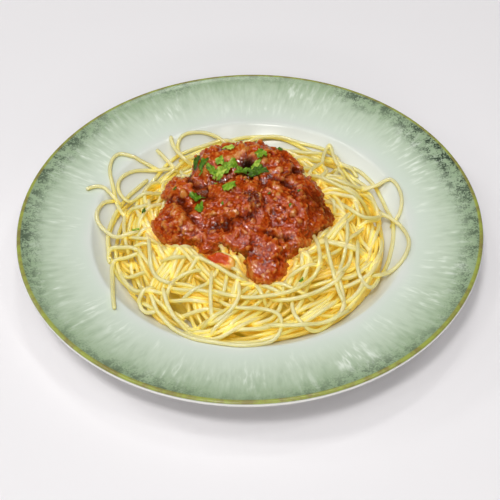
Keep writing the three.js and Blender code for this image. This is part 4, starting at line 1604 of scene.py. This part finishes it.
    def settle(self) -> None:
        """Lays all strands: wanderers until the heap is filled, then companions, then the shown ones."""
        rng = np.random.default_rng(self.seed)
        top = self.sauce.top.heights
        self.cover = HeightMap(-HeightMap(np.where(np.isfinite(top), -top, -1000.0)).spread(1.5).heights)
        self.ground = HeightMap()
        reach = np.hypot(self.ground.x, self.ground.y)
        self.ground.heights = self.plate.top(reach)
        self.ground.lay(self.core().points, self.core_ball)
        self.ground.heights = np.minimum(
            self.ground.heights,
            np.maximum(self.plate.top(reach), self.dome(reach) - self.core_drop),
        )
        self.fill(self.bundle_plans(rng), self.fill_rise)
        bundled = len(self.strands)
        for count, lengths, rise in (
            (self.walkers, self.single_lengths, self.fill_rise),
            (self.fillers, self.filler_lengths, self.filler_rise),
        ):
            self.fill(self.wandering_plans(rng, count, lengths, self.single_turn), rise)
        wandered = len(self.strands)
        self.fill(self.companion_plans(rng), self.companion_rise)
        for ends, corners in SHOWN_STRANDS:
            judged = curve_through(np.array(corners, dtype=float), self.step)
            plan = judged[:, :2].copy()
            for _ in range(3):
                higher = np.clip(self.heights_for(plan, ends) - judged[:, 2], -6, 6)
                plan[:, 1] = judged[:, 1] - self.view_slope * higher
                plan = smoothed(plan, 8)
            self.lay(plan, ends)
        counts = (bundled, wandered, len(self.strands))
        log.info("spaghetti: %d in bundles, %d with single ones, %d in all", *counts)

    def tube(self, line: Floats, radius: float) -> Surface:
        """A strand: rings square to the line, their sides level and upright, drawn in at both ends.

        Args:
            line: points of its middle line.
            radius: its radius.

        Returns:
            The closed tube.
        """
        tangent = unit(np.gradient(line, axis=0))
        level = unit(np.stack([tangent[:, 1], -tangent[:, 0], np.zeros(len(line))], axis=1))
        upright = np.cross(level, tangent)
        turn = full_turn(self.sides)[None, :, None]
        width = np.full(len(line), radius)
        width[[0, -1]] *= self.end_share
        ring = np.cos(turn) * level[:, None] + np.sin(turn) * upright[:, None]
        rings = line[:, None] + ring * width[:, None, None]
        first, last = line[0] - tangent[0] * self.end_bulge, line[-1] + tangent[-1] * self.end_bulge
        return closed_rings(rings, first, last)

    def build(self, finish: Finish) -> list[bpy.types.Object]:
        """Makes the core and the strands in pieces of limited size, which all stand for the CAD heap.

        Args:
            finish: the pasta.

        Returns:
            The pieces.
        """
        rng = np.random.default_rng(self.seed + 1)
        crest = self.ground.spread(self.crest_reach).blurred(self.crest_reach)
        under_sauce = HeightMap(np.isfinite(self.sauce.top.heights).astype(float))
        sauce_near = under_sauce.blurred(self.sauce_reach)
        core = self.core()
        none = np.zeros(len(core.points))
        # The core takes the full painted glow and shade of the gaps
        core.values = {"depth": none + 1, "cream_and_top_light": none, "stain": none}
        tubes = []
        for line in self.strands:
            tube = self.tube(line, self.strand_radius * rng.uniform(0.9, 1.0))
            plan = tube.points[:, :2]
            # Painted glow and shade: how far each point lies below the crest near it
            below = np.clip((crest.at(plan) - tube.points[:, 2] - 0.3) / self.glow_depth, 0, 1)
            mottle = 0.12 * soft_noise(tube.points, 12.0, 51)
            stain = self.stain_strength * sauce_near.at(plan) * rng.uniform(0, 1) ** 2
            # A paler cream, partly the strand's own tone and partly painted light, shows only near the top
            cream_and_top_light = rng.uniform(0, self.creamiest) * eased(below, 0.5, 0.1)
            tube.values = {"depth": below + mottle, "cream_and_top_light": cream_and_top_light, "stain": stain}
            tubes.append(tube)
        pieces = [make_piece("spaghetti_core", core, finish)]
        batch: list[Surface] = []
        total = 0
        for tube in tubes + [None]:
            size = 0 if tube is None else sum(len(array) * (array.shape[1] - 2) for array in tube.faces)
            if batch and (tube is None or total + size > self.piece_limit):
                name = f"spaghetti_strands_{len(pieces)}"
                pieces.append(make_piece(name, Surface.joined(batch), finish))
                batch, total = [], 0
            if tube is not None:
                batch.append(tube)
                total += size
        for piece in pieces:
            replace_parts(piece, "spaghetti")
        return pieces


# Smear and parsley


@dataclass
class Smear:
    """The thin smear of sauce on the noodles in front of the mound."""

    corners: tuple = (
        (-28.9, -27.2), (-20.7, -27.4), (-17.5, -30), (-13.1, -33.5), (-8.8, -37.5),
        (-9.9, -42.8), (-14.2, -42), (-20.6, -37.7), (-25.9, -33.8), (-30.1, -28.8),
    )
    judged_height: float = 27.0
    thickness: float = 0.9
    edge_lift: float = 0.15
    sunk: float = 0.9
    rings: int = 26
    rings_below: int = 6
    sides: int = 120

    def build(self, finish: Finish, ground: HeightMap, view_slope: float) -> bpy.types.Object:
        """Lays a film over the strands, thick in the middle and thin at its edge.

        Args:
            finish: the thin sauce.
            ground: heights of the strands.
            view_slope: how far it moves towards the back for each millimetre that it lies lower.

        Returns:
            The film, which stands for the CAD smear.
        """
        edge = curve_through(np.array(self.corners, dtype=float), 0.5, closed=True)
        edge = edge[np.linspace(0, len(edge), self.sides, endpoint=False).astype(int)]
        middle = edge.mean(axis=0)
        bed = ground.spread(0.5).blurred(1.0)
        lower = self.judged_height - float(np.mean(bed.at(edge)))
        centre = middle + np.array([0, view_slope * lower])
        share, upper = lens_rows(self.rings, self.rings_below)
        plan = centre + share[:, None, None] * (edge - middle)[None]
        film = self.thickness * (1 - share ** 5)
        lift = np.where(upper, film + self.edge_lift, -self.sunk * (1 - share))
        height = bed.at(plan) + lift[:, None]
        rings = np.concatenate([plan, height[..., None]], axis=-1)
        base = float(bed.at(centre[None])[0])
        poles = [np.array([*centre, base + rise]) for rise in (self.thickness, -self.sunk)]
        surface = closed_rings(rings, *poles)
        surface.values["thin"] = np.concatenate([np.repeat(share ** 2, self.sides), [0.0, 0.0]])
        film_piece = make_piece("thin_smear", surface, finish)
        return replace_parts(film_piece, "sauce_smear")


@dataclass
class Parsley:
    """Chopped parsley: lobed scraps of leaf on the sauce, and flecks on sauce and noodles."""

    # Leaves as x, y, half length, half width, turn in degrees, lobes and brightness
    leaves: tuple = (
        (-12, 42.8, 5.0, 3.2, 10, 2, 0.95), (-32, 36.5, 5.4, 2.2, 78, 3, 0.2),
        (-27.5, 30.5, 4.8, 2.6, 65, 3, 0.35), (-17, 32, 3.2, 2.8, 0, 3, 0.75),
        (-22.3, 26.3, 5.4, 2.8, -40, 3, 0.6), (-17.5, 25, 5.0, 3.0, 50, 3, 0.8),
        (-12.5, 28.5, 5.8, 3.0, 30, 3, 0.7), (-4.6, 25.8, 5.6, 3.8, 35, 4, 0.5),
        (5.6, 24.6, 7.8, 4.0, 5, 5, 0.25), (4, 28.8, 5.2, 2.2, 45, 3, 0.8),
        (-12.1, 9.6, 6.4, 4.8, 5, 2, 0.7), (-31.7, 8.8, 4.8, 4.2, -30, 4, 0.45),
        (-30, -0.8, 4.6, 2.8, 80, 3, 0.5), (7.6, 36.2, 6.0, 3.8, -65, 4, 0.65),
    )
    # Flecks as x, y, half length, turn in degrees and brightness
    sauce_flecks: tuple = (
        (-29, 25.8, 1.3, 20, 0.6), (-45, 16, 1.4, 40, 0.4), (19.3, 43.2, 2.4, 0, 0.3),
        (-2, 18, 1.2, 60, 0.5), (30, 8, 1.3, 10, 0.35), (-16, -2, 1.2, 80, 0.5), (12, 6, 1.2, 30, 0.4),
        (24, -6, 1.2, 50, 0.4), (-20, 17, 1.2, 15, 0.7), (-36, 30, 1.3, 70, 0.3),
    )
    noodle_flecks: tuple = (
        (-64, 8, 2.2, 65, 0.25), (-69, -3, 2.6, 12, 0.85), (29, -52, 1.9, 38, 0.55),
    )
    # The CAD leaves that they stand for
    nodes: int = 13
    leaf_thickness: float = 0.3
    gap: float = 0.35
    rings: int = 12
    sides: int = 72
    seed: int = 3
    # The flecks' random patterns are numbered from here
    first_fleck: int = 50
    fleck_width: float = 0.55
    fleck_lobes: int = 3

    def outline(self, rng: np.random.Generator, lobes: int) -> Floats:
        """The reach of a scrap's edge by angle: round lobes with small teeth, cut straight on one side.

        Args:
            rng: the seeded source of random numbers.
            lobes: number of lobes.

        Returns:
            The reach at evenly spaced angles, about 1 on a lobe.
        """
        angle = full_turn(self.sides)
        reach = np.full(self.sides, rng.uniform(0.6, 0.75))
        first = rng.uniform(0, 2 * np.pi)
        for number in range(lobes):
            middle = first + 2 * np.pi * (number + rng.uniform(-0.2, 0.2)) / lobes
            away = np.angle(np.exp(1j * (angle - middle))) * lobes / np.pi
            reach = np.maximum(reach, rng.uniform(0.8, 1.2) * np.exp(-0.45 * away ** 4))
        reach += 0.07 * np.sin(angle * rng.integers(13, 19) + first)
        return np.minimum(reach, 0.6 / np.maximum(np.cos(angle - first - np.pi / lobes), 0.1))

    def scrap(self, number: int, leaf: tuple, ground: HeightMap) -> Surface:
        """One scrap of leaf, ruffled and bent towards its edge.

        Args:
            number: picks its random pattern.
            leaf: its plan place, half length, half width, turn in degrees, lobes and brightness.
            ground: heights that it lies on.

        Returns:
            The thin closed scrap.
        """
        x, y, half_length, half_width, turn, lobes, tone = leaf
        rng = np.random.default_rng(self.seed * 1000 + number)
        angle = full_turn(self.sides)
        reach = self.outline(rng, lobes)
        share, upper = lens_rows(self.rings, self.rings - 1)
        long, wide = half_length * reach * np.cos(angle), half_width * reach * np.sin(angle)
        cos, sin = math.cos(math.radians(turn)), math.sin(math.radians(turn))
        edge = np.stack([long * cos - wide * sin, long * sin + wide * cos], axis=1)
        plan = np.array([x, y], dtype=float) + share[:, None, None] * edge[None]
        broad = 0.55 * np.sin(lobes * angle + rng.uniform(0, 6))
        narrow = 0.35 * np.sin(2 * lobes * angle + rng.uniform(0, 6))
        ruffle = share[:, None] ** 1.5 * (broad + narrow)
        bend = (share[:, None, None] * edge[None]) @ rng.uniform(-0.25, 0.25, 2)
        fold = np.maximum(ruffle * min(1.0, half_length / 3.5) + bend, -0.25 * half_width)
        lift = self.gap + 0.2 * half_width
        under = np.where(upper, 0, self.leaf_thickness * np.sqrt(1 - share ** 2))
        height = ground.at(plan) + lift + fold - under[:, None]
        rings = np.concatenate([plan, height[..., None]], axis=-1)
        top = np.array([x, y, float(ground.at(np.array([[x, y]], dtype=float))[0]) + lift])
        surface = closed_rings(rings, top, top - np.array([0, 0, self.leaf_thickness]))
        # Painted light and shade: the leaf is paler where its ruffle rises and darker where it sinks
        surface.values["tone"] = np.append((tone + 0.35 * ruffle).ravel(), [tone, tone])
        return surface

    def build(self, finish: Finish, sauce_top: HeightMap, noodle_top: HeightMap) -> list[bpy.types.Object]:
        """Makes the leaves, which stand for the CAD leaves, and the flecks.

        Args:
            finish: the leaf.
            sauce_top: heights of the sauce.
            noodle_top: heights of the strands.

        Returns:
            The two pieces.
        """
        on_sauce = sauce_top.spread(0.8).blurred(0.8)
        on_noodles = noodle_top.spread(0.6)
        leaves = [self.scrap(number, leaf, on_sauce) for number, leaf in enumerate(self.leaves)]
        flecks = []
        for ground, places in ((on_sauce, self.sauce_flecks), (on_noodles, self.noodle_flecks)):
            for x, y, long, turn, tone in places:
                fleck = (x, y, long, self.fleck_width * long, turn, self.fleck_lobes, tone)
                flecks.append(self.scrap(self.first_fleck + len(flecks), fleck, ground))
        leaf_piece = make_piece("parsley_leaves", Surface.joined(leaves), finish)
        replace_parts(leaf_piece, *[f"parsley_{i + 1}" for i in range(self.nodes)])
        return [leaf_piece, make_piece("parsley_flecks", Surface.joined(flecks), finish)]


# Studio


@dataclass
class Studio:
    """The pale table, soft lights and the camera at the photo's viewpoint."""

    distance: float = 800.46
    elevation: float = 45.746
    target: tuple = (-0.07, -19.54, 20.0)
    roll: float = -1.1166
    focal_pixels: float = 1342.4
    picture_pixels: float = 500.0
    sensor: float = 36.0
    sky: str = "#eef0f4"
    sky_strength: float = 0.02
    # What the camera sees behind the table's far edge in low views; it lights nothing
    backdrop: str = "#dfdfe1"
    # Lamps as degrees leftwards from the front, degrees up, width in metres and watts. Together they
    # throw the shadow that the plate has on the table, and the small ones make the glints on the sauce
    lamps: tuple = (
        (22, 68, 0.55, 29.0), (9, 37, 0.4, 5.9), (351, 35, 0.4, 5.9), (12, 21, 0.4, 5.9),
        (350, 20, 0.4, 5.9), (95, 31, 0.45, 6.0), (116, 36, 0.45, 6.0), (104, 50, 0.45, 6.0),
        (188, 63, 0.4, 6.0), (114, 66, 0.4, 5.0), (275, 65, 0.4, 6.0), (340, 60, 0.35, 4.5),
        (62, 60, 0.35, 4.0), (0, 90, 3.4, 24.5),
    )
    lamp_distance: float = 3.0
    lamp_colour: str = "#fffefc"
    half_table: float = 2500.0

    @staticmethod
    def pose(side: Floats, head: Floats, back: Floats, place: Floats) -> Matrix:
        """A placing with its own axes.

        Args:
            side: direction of its X.
            head: direction of its Y.
            back: direction of its Z.
            place: where it stands, in metres.

        Returns:
            The placing.
        """
        turned = Matrix([[*row] for row in np.stack([side, head, back], axis=1)]).to_4x4()
        return Matrix.Translation(place) @ turned

    def table(self) -> bpy.types.Object:
        """The table top under the plate, not part of the object.

        Returns:
            The table top.
        """
        side = self.half_table
        corners = np.array([[-side, -side, 0], [side, -side, 0], [side, side, 0], [-side, side, 0]])
        mesh = bpy.data.meshes.new("pale_table")
        mesh.from_pydata((corners * MM).tolist(), [], [[0, 1, 2, 3]])
        mesh.materials.append(PaleTable().material())
        floor = linked("pale_table", mesh)
        return floor

    def lamp(self, leftwards: float, upwards: float, width: float, power: float) -> bpy.types.Object:
        """A round softbox aimed at the middle of the plate.

        Args:
            leftwards: its direction in the plan, in degrees from the front.
            upwards: its direction above the table, in degrees.
            width: its width in metres.
            power: its power in watts.

        Returns:
            The lamp.
        """
        name = f"softbox_{leftwards}_{upwards}"
        data = bpy.data.lights.new(name, "AREA")
        data.shape = "DISK"
        data.size = width
        data.energy = power
        data.color = linear(self.lamp_colour)[:3]
        lamp = linked(name, data)
        turn, climb = math.radians(leftwards), math.radians(upwards)
        flat = math.cos(climb)
        back = np.array([-math.sin(turn) * flat, -math.cos(turn) * flat, math.sin(climb)])
        # A direction that no lamp shines along
        side = unit(np.cross([0, 1, 0.01], back))
        lamp.matrix_world = self.pose(side, np.cross(back, side), back, back * self.lamp_distance)
        return lamp

    def camera(self) -> bpy.types.Object:
        """The camera: it looks at the target from the front and above, rolled a little.

        Returns:
            The camera, made the scene's own.
        """
        e, roll = math.radians(self.elevation), math.radians(self.roll)
        back = np.array([0, -math.cos(e), math.sin(e)])
        right = np.array([1.0, 0, 0])
        up = np.cross(back, right)
        side = right * math.cos(roll) + up * math.sin(roll)
        head = up * math.cos(roll) - right * math.sin(roll)
        place = (np.array(self.target) + back * self.distance) * MM
        data = bpy.data.cameras.new("camera")
        data.sensor_width = self.sensor
        data.lens = self.focal_pixels / self.picture_pixels * self.sensor
        data.clip_start, data.clip_end = 0.05, 20
        camera = linked("camera", data)
        camera.matrix_world = self.pose(side, head, back, place)
        bpy.context.scene.camera = camera
        return camera

    def build(self) -> None:
        """Sets the table, the lights, the sky and the camera."""
        self.camera()
        self.table()
        for lamp in self.lamps:
            self.lamp(*lamp)
        world = bpy.data.worlds.new("studio")
        world.use_nodes = True
        tree = world.node_tree
        tree.nodes.clear()
        seen = add(tree, "LightPath")["Is Camera Ray"]
        light = add(tree, "Background", {"Color": self.sky, "Strength": self.sky_strength})[0]
        backdrop = add(tree, "Background", {"Color": self.backdrop})[0]
        add(tree, "OutputWorld", {"Surface": add(tree, "MixShader", {0: seen, 1: light, 2: backdrop})[0]})
        scene = bpy.context.scene
        scene.world = world
        scene.view_settings.view_transform = "Standard"
        scene.view_settings.look = "None"


def main() -> None:
    """Builds the meal piece by piece."""
    logging.basicConfig(level=logging.INFO, format="%(name)s: %(message)s")
    Studio().build()
    plate = Plate()
    plate.build(ReactiveGlaze())
    sauce = Sauce()
    sauce.shape()
    sauce.build(Bolognese())
    heap = Spaghetti(plate, sauce)
    heap.settle()
    heap.build(CookedPasta())
    Smear().build(ThinSauce(), heap.ground, heap.view_slope)
    Parsley().build(ParsleyLeaf(), sauce.top, heap.ground)


if __name__ == "__main__":
    main()
